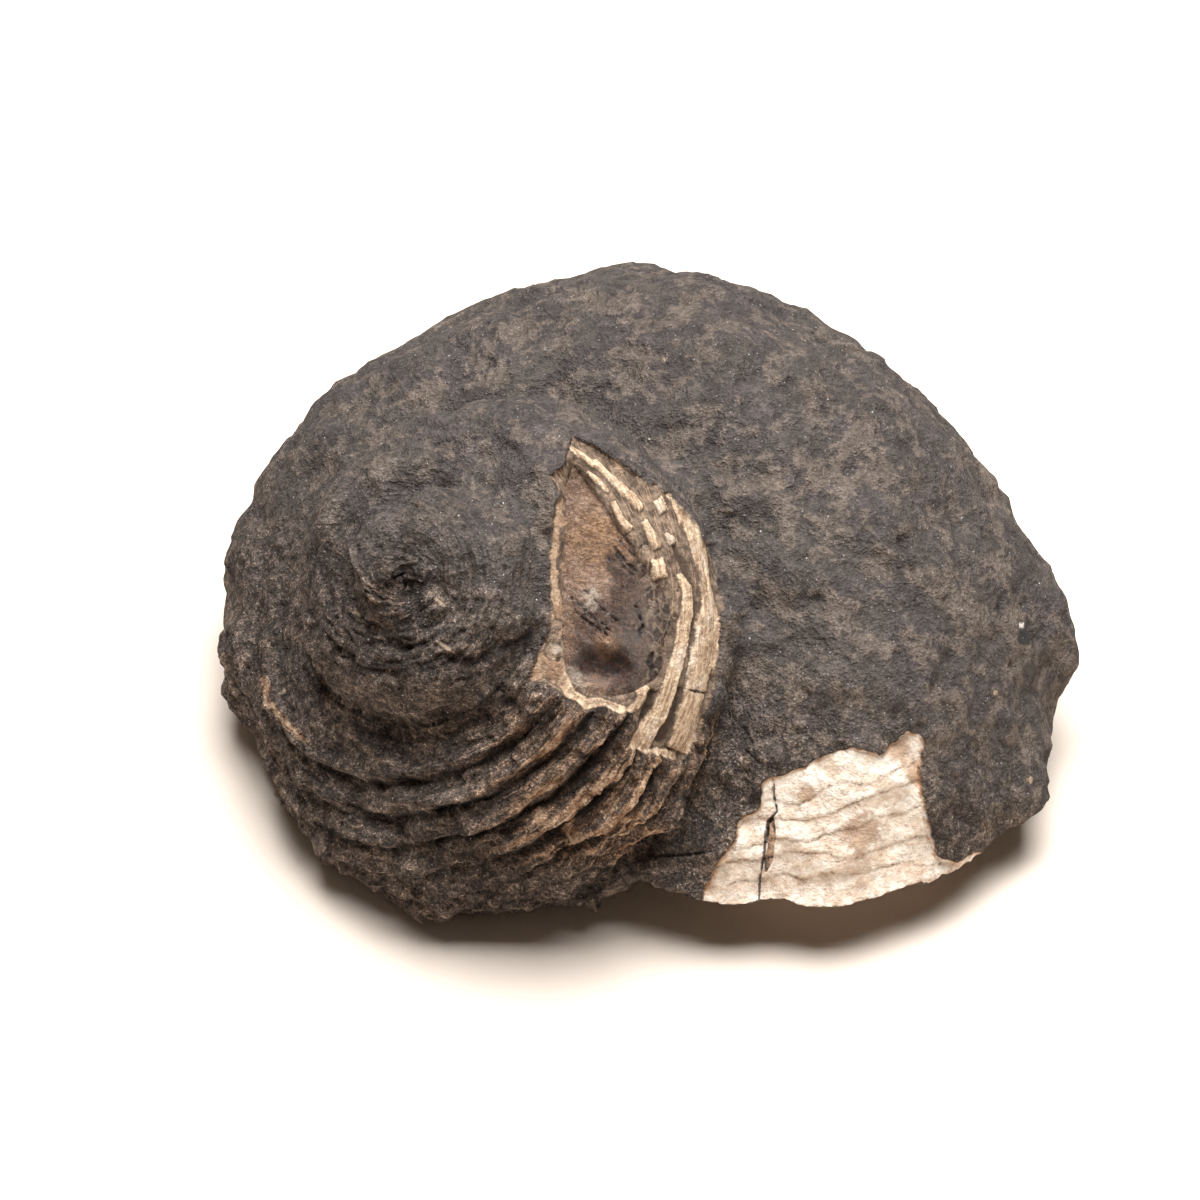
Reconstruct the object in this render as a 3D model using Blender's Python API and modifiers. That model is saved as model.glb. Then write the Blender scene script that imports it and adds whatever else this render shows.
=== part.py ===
"""A fossil sea snail shell, lying on its mouth, in metres with +Z up.

The shell is a tube wound round an axis that leans back from the vertical.  Every whorl is
an ellipse carried along the coil.  A ball is drawn in from all sides until it meets the
last whorl, the mouth or the table, meshed again evenly, and settled onto the same form
with its cords, ledges and lumps.  A window is then cut through one whorl, and the calcite
that fills it is a solid of its own.  Lengths are in millimetres and angles in degrees
until the meshes are finished.
"""
import math

import bmesh
import bpy
import numpy as np
from mathutils import noise

MM = 0.001

# How the shell stands.  The face is the plane that the spire looks out of: it is tipped
# back by FACE_TILT, and marks are placed on it from the apex: right, up and outwards.
APEX = np.array((-9.17, -6.46, 14.8))
AXIS_LEAN = 36.3
AXIS_HEADING = -138.8
FACE_TILT = 47.0

# The coil: sizes are shares of the whorl's own scale, which shrinks towards the apex.
LIP_SCALE = 20.77
GROWTH = 0.5914
GROWTH_SLOWING = -0.1026
LIP_ANGLE = 69.3
LAST_TURN = 0.25
WHORLS_LOOKED_AT = 4
TUBE_OUT, TUBE_OUT_GAIN = 0.460, -0.105
TUBE_DROP, TUBE_DROP_GAIN = 1.003, 0.180
TUBE_WIDTH, TUBE_HEIGHT = 0.428, 0.462
TUBE_ROLL = 12.2
SUTURE_SOFTNESS = 1.0
SPIRE_SOFTNESS = 1.9
COLUMELLA_SLOPE = 0.16
COLUMELLA_END = 20.0
SPIRE_SHIFT = (-0.33, -0.84)
SPIRE_REACH = 3.5

# The mouth: the plane of the lip, the turns over which it starts, the thickness of its
# edge, how far the rock inside lies back from it, and the lump of rock that it rests on,
# which is an ellipsoid.
LIP_PLACE = (17.85, -11.7, -6.2)
LIP_FACING = (-0.02, -0.065, -0.996)
LIP_STARTS = (-0.42, -0.30)
LIP_WALL = 0.7
ROCK_RECESS = 0.8
ROCK_PLACE = APEX + (15.2, 4.2, -12.0)
ROCK_RADII = (7.5, 7.0, 4.0)
ROCK_SOFTNESS = 0.8

# Spiral cords round the whorl: the angle of the first on the tube, the angle between two,
# the share of it that a ridge is wide, and the turns where they rise, are full, start to
# fall and are plain again.  The crust's lumps are (size, height).
FIRST_CORD = 62.4
CORD_STEP = 14.9
CORDS_ABOVE, CORDS_BELOW = -1, 11
CORD_SHARE = 0.22
CORD_HEIGHT = 0.36
PLAIN_CORDS = 0.20
BOLD_CORDS = (-1.14, -1.04, -0.74, -0.60)
LUMPS = ((2.6, 0.22), (1.1, 0.09))

# Swellings and dents on the face, as (right, up, out), radius and height.
SWELLINGS = (
    ((24.6, -3.0, -10.0), 1.7, 0.9),
    ((25.4, -4.0, -10.2), 0.8, 0.8),
    ((23.5, -9.9, -8.0), 1.6, 0.75),
    ((24.6, -6.4, -9.7), 1.0, -0.3),
    ((23.5, 0.6, -11.0), 2.5, 0.2),
    ((10.0, 10.7, -14.0), 3.5, 0.2),
    ((9.2, 11.1, -14.2), 0.9, 0.25),
    ((-0.5, 8.0, -15.0), 3.0, -0.3),
    ((-6.2, 0.6, -13.3), 2.5, 0.3),
    ((-6.4, -8.3, -11.5), 2.6, -0.5),
    ((-4.0, -11.2, -9.3), 2.4, -0.45),
    ((7.5, -12.7, -5.4), 1.6, 1.2),
)

# Outlines on the face: where the crust has come off the white shell beside the mouth,
# where the whorl is broken back round the window, and the window itself.
WHITE_PATCH = ((13.6, -8.5), (15.0, -8.0), (15.9, -7.5), (16.7, -7.2), (17.9, -7.4), (18.5, -7.1),
               (19.1, -6.6), (19.5, -7.8), (19.7, -9.8), (20.2, -11.4), (21.7, -11.1), (22.4, -12.2),
               (18.7, -14.5), (14.8, -14.5), (11.0, -14.0), (11.2, -12.4), (12.0, -11.0),
               (12.6, -9.9), (13.4, -9.0))
BROKEN_RIM = ((6.4, 4.3), (5.4, 3.0), (5.5, 0.1), (5.5, -2.3), (4.8, -4.4), (5.5, -4.8), (6.9, -5.9),
              (8.3, -7.2), (9.5, -7.5), (10.5, -7.7), (11.3, -6.4), (11.9, -3.9), (11.9, -2.3),
              (11.4, 0.1), (10.7, 1.6), (9.7, 2.8), (8.1, 3.7))
WINDOW = ((6.4, 4.0), (5.8, 2.8), (5.8, 1.3), (5.7, -0.2), (5.8, -1.7), (5.7, -2.8), (5.8, -4.1),
          (6.6, -5.0), (7.7, -5.2), (9.0, -4.7), (9.4, -3.2), (9.2, -1.8), (8.8, -0.2), (8.5, 1.1),
          (7.7, 2.2), (7.0, 3.2))
CRUST_DEPTH = 0.28
LEDGE_WIDTH = 0.32
RIM_DEPTH, RIM_WIDTH = 0.55, 2.4
LOWEST_MARK = -9.0
WINDOW_DEPTH = 2.0

# The calcite: how far it keeps from the window's walls, and the facets of its top, each
# a plane through (right, up) with a depth under the shell and a slope right and up.
GAP = 0.3
GAP_ALLOWANCE = 1.15
CALCITE_FACETS = (
    ((7.0, 1.5), 0.35, (0.10, -0.04)),
    ((6.6, -2.8), 0.75, (-0.02, 0.16)),
    ((8.6, -1.0), 0.30, (-0.22, 0.02)),
)
CALCITE_RINGS = (1.0, 0.72, 0.42, 0.16)

# The underside: how far the form reaches below the table before it is cut flat, and how
# softly it bends into the flat, little in front and more behind.
TABLE_SINK = 0.12
TABLE_SOFTNESS, BACK_SOFTNESS = 0.9, 3.4
BACK_STARTS, BACK_FULL = -9.0, 2.0
TABLE = 60.0

# How finely the form is found and meshed.
CENTRE = APEX + (8.5, 5.5, -7.5)
REACH = 24.0
STEP = 0.5
HALVINGS = 12
SUBDIVISIONS = 6
MESH_STEP = 0.32
SETTLING = 4
PROBE = 0.02
LEAST_STEEPNESS = 0.3
FACETS = 8800


def unit(vector):
    vector = np.asarray(vector, float)
    return vector / np.linalg.norm(vector)


def face_axes():
    """Right, up and outward directions of the tipped face."""
    tilt = math.radians(FACE_TILT)
    right = np.array((1.0, 0.0, 0.0))
    up = np.array((0.0, math.sin(tilt), math.cos(tilt)))
    out = np.array((0.0, -math.cos(tilt), math.sin(tilt)))
    return np.array((right, up, out))


def shell_axes():
    """Two directions across the shell's axis, and the axis itself towards the apex."""
    lean, heading = math.radians(AXIS_LEAN), math.radians(AXIS_HEADING)
    across = (math.cos(lean) * math.cos(heading), math.cos(lean) * math.sin(heading),
              -math.sin(lean))
    beside = (-math.sin(heading), math.cos(heading), 0.0)
    axis = (math.sin(lean) * math.cos(heading), math.sin(lean) * math.sin(heading),
            math.cos(lean))
    return np.array((across, beside, axis))


FACE = face_axes()
SHELL = shell_axes()


def from_face(places):
    """Points of the part from their right, up and outward places on the face."""
    return APEX + np.asarray(places, float) @ FACE


def to_face(points):
    return (points - APEX) @ FACE.T


def ease(value):
    """Smooth step from 0 to 1."""
    value = np.clip(value, 0.0, 1.0)
    return value * value * (3.0 - 2.0 * value)


def soft_min(one, two, softness):
    blend = np.maximum(softness - np.abs(one - two), 0.0) / softness
    return np.minimum(one, two) - blend * blend * softness * 0.25


def depth_inside(places, outline):
    """Distance to an outline on the face, positive inside it."""
    corners = np.array(outline, float)
    nearest = np.full(len(places), np.inf)
    inside = np.zeros(len(places), bool)
    x, y = places[:, 0], places[:, 1]
    for start, end in zip(corners, np.roll(corners, -1, axis=0)):
        edge = end - start
        from_start = places[:, :2] - start
        share = np.clip(from_start @ edge / (edge @ edge), 0.0, 1.0)
        nearest = np.minimum(nearest, np.linalg.norm(from_start - share[:, None] * edge, axis=1))
        spans = (start[1] > y) != (end[1] > y)
        rise = edge[1] if edge[1] else 1.0
        inside ^= spans & (x < start[0] + edge[0] * (y - start[1]) / rise)
    return np.where(inside, nearest, -nearest)


def whorl_scale(turn):
    return LIP_SCALE * np.exp(GROWTH * turn + GROWTH_SLOWING * turn * turn)


def mouth(points, turn, tube):
    """Height past the lip's plane, sunk by the recess where the tube is filled with rock."""
    lip = (points - from_face(LIP_PLACE)) @ unit(LIP_FACING)
    starts, full = LIP_STARTS
    early = 1.0 - ease((turn - starts) / (full - starts))
    sunk = ease((-tube - LIP_WALL) / LIP_WALL)
    return lip + ROCK_RECESS * sunk - REACH * early


def coil(points):
    """Height outside the whorls (negative inside), and the turn and angle on the tube."""
    offset = points - APEX
    nearness = np.exp(-(offset ** 2).sum(1) / SPIRE_REACH ** 2)
    offset = offset - np.multiply.outer(nearness, SPIRE_SHIFT @ FACE[:2])
    x, y, along = (offset @ SHELL.T).T
    away = np.hypot(x, y)
    turns = (math.radians(LIP_ANGLE) - np.arctan2(y, x)) / math.tau
    newest = LAST_TURN - (LAST_TURN - turns) % 1.0
    roll = math.radians(TUBE_ROLL)
    height = np.maximum(away + COLUMELLA_SLOPE * along, -along - COLUMELLA_END)
    nearest = np.full(len(points), np.inf)
    turn_here, angle_here = newest.copy(), np.zeros(len(points))
    for older in range(WHORLS_LOOKED_AT):
        turn = newest - older
        scale = whorl_scale(turn)
        from_middle = away - scale * (TUBE_OUT + TUBE_OUT_GAIN * turn)
        above_middle = along + scale * (TUBE_DROP + TUBE_DROP_GAIN * turn)
        wide = (from_middle * math.cos(roll) + above_middle * math.sin(roll)) / TUBE_WIDTH
        high = (above_middle * math.cos(roll) - from_middle * math.sin(roll)) / TUBE_HEIGHT
        tube = (np.hypot(wide, high) - scale) * TUBE_WIDTH
        if older == 0:
            tube = np.maximum(tube, mouth(points, turn, tube))
        closer = tube < nearest
        nearest = np.where(closer, tube, nearest)
        turn_here = np.where(closer, turn, turn_here)
        angle_here = np.where(closer, np.degrees(np.arctan2(high, wide)), angle_here)
        softness = SUTURE_SOFTNESS + (SPIRE_SOFTNESS - SUTURE_SOFTNESS) * ease(-1.0 - turn)
        height = soft_min(height, tube, softness)
    return height, turn_here, angle_here


def outside(points, relief=0.0):
    """Height outside the fossil, which stands out by the relief but ends at the table."""
    height, turn, angle = coil(points)
    rock = (np.linalg.norm((points - ROCK_PLACE) / ROCK_RADII, axis=1) - 1.0) * min(ROCK_RADII)
    over_table = points[:, 2] + TABLE_SINK
    back = ease((points[:, 1] - BACK_STARTS) / (BACK_FULL - BACK_STARTS))
    softness = TABLE_SOFTNESS + (BACK_SOFTNESS - TABLE_SOFTNESS) * back
    shell = -soft_min(relief - height, over_table, softness)
    rock = -soft_min(relief - rock, over_table, TABLE_SOFTNESS)
    return soft_min(shell, rock, ROCK_SOFTNESS), turn, angle


def outermost(origins, directions):
    """The farthest point of the fossil along each line."""
    origins = np.broadcast_to(origins, directions.shape)
    reach = np.full(len(directions), REACH)
    waiting = np.arange(len(directions))
    while len(waiting):
        tried = origins[waiting] + directions[waiting] * reach[waiting, None]
        free = outside(tried)[0] > 0.0
        waiting = waiting[free & (reach[waiting] > STEP)]
        reach[waiting] -= STEP
    low, high = reach, reach + STEP
    for _ in range(HALVINGS):
        middle = (low + high) / 2.0
        free = outside(origins + directions * middle[:, None])[0] > 0.0
        high = np.where(free, middle, high)
        low = np.where(free, low, middle)
    return origins + directions * low[:, None]


def cords(turn, angle):
    """Narrow rounded ridges that run round the whorl, boldest on the side near the mouth."""
    place = (FIRST_CORD - angle) / CORD_STEP
    nearest = np.clip(np.round(place), CORDS_ABOVE, CORDS_BELOW)
    ridge = np.exp(-((place - nearest) / CORD_SHARE) ** 2)
    rise, full, fall, gone = BOLD_CORDS
    bold = ease((turn - rise) / (full - rise)) * ease((gone - turn) / (gone - fall))
    return CORD_HEIGHT * ridge * (PLAIN_CORDS + (1.0 - PLAIN_CORDS) * bold)


def relief(points, turn, angle):
    """Height of the cords, lumps, swellings and ledges on the smooth whorls."""
    places = to_face(points)
    total = cords(turn, angle)
    for size, height in LUMPS:
        total += height * np.array([noise.noise(point) for point in points / size])
    for place, radius, height in SWELLINGS:
        away = np.linalg.norm(places - place, axis=1)
        total += height * np.exp(-(away / radius) ** 2)
    on_face = places[:, 2] > LOWEST_MARK
    ledge = ease(depth_inside(places, WHITE_PATCH) / LEDGE_WIDTH + 0.5)
    total -= CRUST_DEPTH * on_face * ledge
    total -= RIM_DEPTH * on_face * ease(depth_inside(places, BROKEN_RIM) / RIM_WIDTH)
    return total


def settle(points):
    """Moves points onto the fossil's surface along its steepest direction."""
    for _ in range(SETTLING):
        _, turn, angle = outside(points)
        standing = relief(points, turn, angle)
        height = outside(points, standing)[0]
        slope = np.empty_like(points)
        for axis in range(3):
            probe = np.zeros(3)
            probe[axis] = PROBE
            ahead = outside(points + probe, standing)[0]
            behind = outside(points - probe, standing)[0]
            slope[:, axis] = (ahead - behind) / (2.0 * PROBE)
        steepness = np.maximum((slope ** 2).sum(1), LEAST_STEEPNESS)
        points = points - np.clip(height / steepness, -MESH_STEP, MESH_STEP)[:, None] * slope
    return points


def mesh_points(mesh):
    points = np.empty(len(mesh.vertices) * 3, np.float32)
    mesh.vertices.foreach_get("co", points)
    return points.reshape(-1, 3).astype(float)


def put_points(mesh, points):
    mesh.vertices.foreach_set("co", np.asarray(points, np.float32).ravel())
    mesh.update()


def new_object(name, mesh, collection):
    item = bpy.data.objects.new(name, mesh)
    collection.objects.link(item)
    return item


def evaluated_copy(item):
    graph = bpy.context.evaluated_depsgraph_get()
    return bpy.data.meshes.new_from_object(item.evaluated_get(graph))


def material(name, colour, roughness):
    finish = bpy.data.materials.new(name)
    finish.use_nodes = True
    shader = finish.node_tree.nodes["Principled BSDF"]
    shader.inputs["Base Color"].default_value = (*colour, 1.0)
    shader.inputs["Roughness"].default_value = roughness
    shader.inputs["Metallic"].default_value = 0.0
    return finish


def rough_ball(collection):
    """An even mesh of the smooth form: a ball drawn in to it and meshed again."""
    ball = bmesh.new()
    bmesh.ops.create_icosphere(ball, subdivisions=SUBDIVISIONS, radius=1.0)
    mesh = bpy.data.meshes.new("ball")
    ball.to_mesh(mesh)
    ball.free()
    directions = mesh_points(mesh)
    directions /= np.linalg.norm(directions, axis=1)[:, None]
    put_points(mesh, outermost(CENTRE, directions))
    item = new_object("ball", mesh, collection)
    even = item.modifiers.new("even mesh", "REMESH")
    even.mode = "VOXEL"
    even.voxel_size = MESH_STEP
    even_mesh = evaluated_copy(item)
    bpy.data.objects.remove(item, do_unlink=True)
    return even_mesh


def shell_at(outline):
    """Places on the smooth shell straight in from an outline on the face."""
    above = from_face([(right, up, 0.0) for right, up in outline])
    inwards = np.broadcast_to(FACE[2], above.shape)
    return to_face(outermost(above - FACE[2] * REACH / 2.0, inwards))


def shrunk(outline, share):
    corners = np.array(outline, float)
    middle = corners.mean(0)
    return middle + (corners - middle) * share


def inset(outline, distance):
    """The outline, listed anticlockwise, moved inwards by a distance."""
    corners = np.array(outline, float)
    edges = np.roll(corners, -1, axis=0) - corners
    ahead = edges / np.linalg.norm(edges, axis=1)[:, None]
    along = ahead + np.roll(ahead, 1, axis=0)
    along /= np.linalg.norm(along, axis=1)[:, None]
    return corners + distance * np.stack((-along[:, 1], along[:, 0]), axis=1)


def window_floor(places):
    """Outward places of the flat floor that lies WINDOW_DEPTH under the window's rim."""
    rim = shell_at(WINDOW)
    plane = np.linalg.lstsq(np.c_[rim[:, :2], np.ones(len(rim))], rim[:, 2], rcond=None)[0]
    return np.c_[places, np.ones(len(places))] @ plane - WINDOW_DEPTH


def ring_solid(name, rings, collection):
    """A closed solid from rings of equal length, from its floor up to its top."""
    form = bmesh.new()
    loops = [[form.verts.new(point * MM) for point in from_face(ring)] for ring in rings]
    for lower, upper in zip(loops, loops[1:]):
        for index, corner in enumerate(lower):
            beside = (index + 1) % len(lower)
            form.faces.new((corner, lower[beside], upper[beside], upper[index]))
    form.faces.new(tuple(reversed(loops[0])))
    form.faces.new(loops[-1])
    bmesh.ops.triangulate(form, faces=form.faces)
    mesh = bpy.data.meshes.new(name)
    form.to_mesh(mesh)
    form.free()
    return new_object(name, mesh, collection)


def window_cutter(collection):
    outline = np.array(WINDOW)
    floor = np.c_[outline, window_floor(outline)]
    above = np.c_[outline, shell_at(WINDOW)[:, 2] + WINDOW_DEPTH]
    return ring_solid("window_cutter", (floor, above), collection)


def calcite(collection):
    """The crystal mass in the window: flat below, with facets that meet in ridges on top."""
    outline = inset(WINDOW, GAP * GAP_ALLOWANCE)
    rings = [np.c_[outline, window_floor(outline) + GAP]]
    for share in CALCITE_RINGS:
        places = shell_at(shrunk(outline, share))
        sunk = np.full(len(places), -np.inf)
        for middle, depth, slope in CALCITE_FACETS:
            sunk = np.maximum(sunk, depth + (places[:, :2] - middle) @ slope)
        places[:, 2] -= sunk
        rings.append(places)
    return ring_solid("calcite_fill", rings, collection)


def table_cutter(collection):
    bpy.ops.mesh.primitive_cube_add(size=TABLE * MM, location=(0.0, 0.0, -TABLE * MM / 2.0))
    block = bpy.context.object
    block.name = "table_cutter"
    for home in block.users_collection:
        home.objects.unlink(block)
    collection.objects.link(block)
    return block


def cut(item, cutter):
    cutter.hide_render = True
    cutter.display_type = "WIRE"
    change = item.modifiers.new("cut by " + cutter.name, "BOOLEAN")
    change.operation = "DIFFERENCE"
    change.solver = "EXACT"
    change.object = cutter


def fossil_shell(collection):
    """The coil with all its relief, in facets that are small only where the form turns."""
    mesh = rough_ball(collection)
    put_points(mesh, settle(mesh_points(mesh)) * MM)
    item = new_object("fossil_shell", mesh, collection)
    facets = item.modifiers.new("facets", "DECIMATE")
    facets.ratio = FACETS / (2.0 * len(mesh.polygons))
    return item


def main():
    for item in list(bpy.data.objects):
        bpy.data.objects.remove(item, do_unlink=True)
    fossil = bpy.data.collections.new("fossil_sea_snail")
    cutters = bpy.data.collections.new("cutters")
    bpy.context.scene.collection.children.link(fossil)
    bpy.context.scene.collection.children.link(cutters)
    shell = fossil_shell(fossil)
    shell.data.materials.append(material("dark_crust", (0.085, 0.072, 0.065), 0.85))
    cut(shell, table_cutter(cutters))
    cut(shell, window_cutter(cutters))
    crystal = calcite(fossil)
    crystal.data.materials.append(material("brown_calcite", (0.30, 0.19, 0.13), 0.25))


main()
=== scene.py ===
"""A fossil sea snail shell: its weathered crust, bared shell layers and brown calcite.

The shell's surface follows the same coil as its solid, at a finer grain.  Marks on the side
that the spire looks out of are placed on a tipped face, right, up and outwards from the
apex.  Lengths are in millimetres and angles in degrees until a mesh is finished.
"""
import math

import bmesh
import bpy
import numpy as np
from mathutils import Matrix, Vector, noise


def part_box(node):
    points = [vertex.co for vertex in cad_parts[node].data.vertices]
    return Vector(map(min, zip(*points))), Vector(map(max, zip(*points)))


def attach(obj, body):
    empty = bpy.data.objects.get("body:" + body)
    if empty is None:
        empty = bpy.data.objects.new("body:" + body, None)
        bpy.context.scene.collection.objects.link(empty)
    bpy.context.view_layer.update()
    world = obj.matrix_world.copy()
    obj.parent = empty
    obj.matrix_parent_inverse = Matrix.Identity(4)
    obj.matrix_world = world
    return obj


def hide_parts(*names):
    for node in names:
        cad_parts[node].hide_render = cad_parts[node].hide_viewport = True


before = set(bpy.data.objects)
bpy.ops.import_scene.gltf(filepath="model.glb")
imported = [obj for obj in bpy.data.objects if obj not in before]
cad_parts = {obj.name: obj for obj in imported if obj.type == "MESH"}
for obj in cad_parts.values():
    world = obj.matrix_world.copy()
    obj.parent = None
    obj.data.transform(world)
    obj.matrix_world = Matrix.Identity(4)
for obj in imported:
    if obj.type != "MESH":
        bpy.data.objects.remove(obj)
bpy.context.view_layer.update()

bl_info = {
    "name": "Fossil sea snail shell",
    "version": (1, 0, 0),
    "blender": (4, 5, 0),
    "location": "View3D > Sidebar > Fossil",
    "description": "Builds a weathered fossil sea snail shell with a calcite window",
    "category": "Object",
}

MM = 0.001
LOW, HIGH = (np.array(corner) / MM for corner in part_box("fossil_shell"))

# How the shell lies: its apex over the low corner of its box, the lean and heading of its
# axis, and the tilt of the face that the marks are placed on.
APEX = LOW + (7.13, 6.98, 14.8)
AXIS_LEAN = 36.3
AXIS_HEADING = -138.8
FACE_TILT = 47.0

# The coil: sizes are shares of the whorl's own scale, which shrinks towards the apex.
LIP_SCALE = 20.77
GROWTH = 0.5914
GROWTH_SLOWING = -0.1026
LIP_ANGLE = 69.3
LAST_TURN = 0.25
WHORLS_LOOKED_AT = 4
TUBE_OUT, TUBE_OUT_GAIN = 0.460, -0.105
TUBE_DROP, TUBE_DROP_GAIN = 1.003, 0.180
TUBE_WIDTH, TUBE_HEIGHT = 0.428, 0.462
TUBE_ROLL = 12.2
SUTURE_SOFTNESS = 1.0
SPIRE_SOFTNESS = 1.4
COLUMELLA_SLOPE = 0.16
COLUMELLA_END = 20.0
SPIRE_SHIFT = (-0.33, -0.84)
SPIRE_REACH = 3.5
RING_RADIUS = 3.5

# The mouth's lip, as a plane that starts at a turn of the coil: its wall, how far the lumps
# and the marks are calmed there, and how its rim is worn.  Then the lump of rock in the mouth.
LIP_PLACE = (17.85, -11.7, -6.2)
LIP_FACING = (-0.02, -0.065, -0.996)
LIP_STARTS = (-0.42, -0.30)
LIP_WALL = 0.7
LIP_EVENNESS, LIP_BAND = 0.7, 1.0
LIP_CALM, LIP_RIM = 0.95, 0.75
LIP_WORN, LIP_WORN_LENGTH, LIP_PASSES = 0.45, 0.15, 4
ROCK_RECESS = 0.8
ROCK_PLACE = APEX + (15.2, 4.2, -12.0)
ROCK_RADII = (7.5, 7.0, 4.0)
ROCK_SOFTNESS = 0.8

# The underside, which ends at the table and is rounder at the back.
TABLE_SINK = 0.12
TABLE_SOFTNESS, BACK_SOFTNESS = 0.9, 3.4
BACK_STARTS, BACK_FULL = -9.0, 2.0

# Spiral cords round the whorl, in degrees on the tube: where they bend, how steep their
# flanks are as shares of a step, and the turns at which they are bold.
FIRST_CORD = 66.0
CORD_STEP = 14.9
CORD_BEND, CORD_BEND_TURN, CORD_BEND_REACH = 27.0, -0.94, 0.16
CORDS_ABOVE, CORDS_BELOW = 0, 11
UPPER_FLANK, LOWER_FLANK = 0.30, 0.11
UNDERCUT, UNDERCUT_PLACE, UNDERCUT_WIDTH = 0.55, 0.24, 0.11
CORD_HEIGHT, CORD_EVENNESS, CORD_UNEVENNESS = 0.36, 0.85, 0.8
CORD_WANDER = ((0.17, 2.6, 1.3), (0.12, 0.8, 0.5))
PLAIN_CORDS = 0.12
BOLD_CORDS = (-1.14, -1.04, -0.74, -0.60)

# Where the cords' crust is rubbed off: it starts at a place to the right, grows to its full
# share, ends at a top and a foot, and spares the corner by the mouth.
FRESH_CORDS, FRESH_RISE = 1.2, 4.0
FRESH_TOP, FRESH_FOOT, FRESH_FADE = -4.6, -12.3, 1.6
FRESH_CORNER = (9.2, -8.2)
# The rubbed crests and the flanks above them, and the painted shade in the hollows below, as shares
# of a step.
CREST_SHIFT, CREST_WIDTH = 0.02, 0.09
FLANK_SHIFT, FLANK_WIDTH, FLANK_SHARE = 0.22, 0.22, 0.42
WORN_NEED, WORN_EDGE = 0.38, 0.60
SHADE_PLACE, SHADE_WIDTH = 0.26, 0.12
DEEP_SHADE_PLACE, DEEP_SHADE_WIDTH = 0.36, 0.16

# How the coil's places are unrolled for noise that runs along the whorl.
WHORL_LENGTH = 50.0
DEGREE_WIDTH = 0.115

# Lumps of the crust as (height, size), from the largest, and swellings and dents as
# (right, up, out), radius and height.
LUMPS = ((0.42, 4.2), (0.36, 2.1), (0.15, 1.0))
SWELLINGS = (
    ((24.8, -2.5, -10.0), 1.9, 1.25),
    ((25.4, -3.9, -10.2), 0.9, 0.8),
    ((24.5, -5.0, -10.6), 0.8, 0.5),
    ((23.7, -9.3, -8.4), 1.7, 0.85),
    ((24.3, -6.8, -9.9), 1.1, 0.15),
    ((23.5, 0.9, -11.0), 2.5, 0.3),
    ((9.2, 11.1, -14.2), 0.9, 0.15),
    ((16.4, 9.0, -13.2), 3.0, -0.32),
    ((18.9, 7.0, -13.7), 1.8, -0.18),
    ((-4.0, 4.6, -13.9), 2.8, 0.35),
    ((-0.5, 8.0, -15.0), 3.0, -0.3),
    ((-6.4, 1.6, -13.9), 2.0, 0.35),
    ((-6.2, -8.1, -10.2), 3.0, -1.0),
    ((-4.0, -11.2, -9.0), 2.4, -0.60),
    ((-0.8, -13.4, -7.2), 2.4, -0.45),
    ((8.1, -12.7, -5.4), 1.3, 0.70),
    ((13.8, -13.4, -4.4), 2.0, -0.45),
)

# Outlines on the face: the chalky patch where the crust has come off beside the mouth, the
# bared layers round the window, and the window itself.
WHITE_PATCH = (
    (11.30, -12.35), (11.84, -11.32), (12.40, -10.72), (12.55, -10.01), (13.36, -9.52),
    (13.45, -8.61), (13.75, -8.31), (14.86, -8.01), (16.07, -7.41), (16.77, -7.22),
    (17.37, -7.35), (18.02, -7.46), (18.27, -7.11), (18.88, -6.60), (19.37, -6.72),
    (19.58, -7.11), (19.37, -7.80), (19.48, -8.70), (19.63, -9.62), (19.88, -10.22),
    (20.08, -11.32), (20.70, -11.55), (21.75, -11.10), (22.40, -12.20), (21.40, -13.60),
    (18.70, -14.50), (14.80, -14.60), (11.00, -14.00),
)
BARED = (
    (6.30, 4.55), (7.35, 4.00), (8.50, 3.20), (9.45, 2.70), (10.20, 2.10), (10.95, 1.20),
    (11.45, 0.35), (11.75, -0.60), (11.92, -1.70), (11.90, -3.10), (11.75, -4.70),
    (11.30, -6.10), (10.75, -7.40), (10.35, -7.75), (9.50, -7.50), (8.95, -7.35),
    (8.35, -7.15), (8.70, -6.40), (8.60, -5.80), (8.05, -5.90), (7.55, -5.60), (6.90, -5.85),
    (6.35, -5.45), (5.80, -5.10), (5.30, -4.75), (4.70, -4.70), (4.95, -3.80), (5.45, -2.85),
    (5.50, -1.50), (5.45, 0.00), (5.60, 1.50), (5.85, 2.40), (5.50, 3.00), (5.95, 3.35),
)
WINDOW = (
    (6.35, 4.00), (5.85, 2.80), (5.72, 1.30), (5.66, -0.20), (5.68, -1.70), (5.72, -2.80),
    (5.84, -4.10), (6.20, -4.85), (7.00, -5.30), (7.90, -5.45), (8.75, -5.25), (9.60, -4.85),
    (10.15, -3.90), (10.25, -2.40), (10.00, -1.20), (9.35, -0.30), (8.75, 0.55), (8.10, 1.35),
    (7.60, 2.20), (6.95, 3.10),
)

# Marks end this far under the apex, and on faces that look away by this much.  A place that
# has no mark is given a depth far outside it.
LOWEST_MARK = -9.0
LOWEST_WHITE = -10.5
SEEN_FACING = -0.4
WHITE_FACING = -0.60
FAR = 9.0

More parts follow.
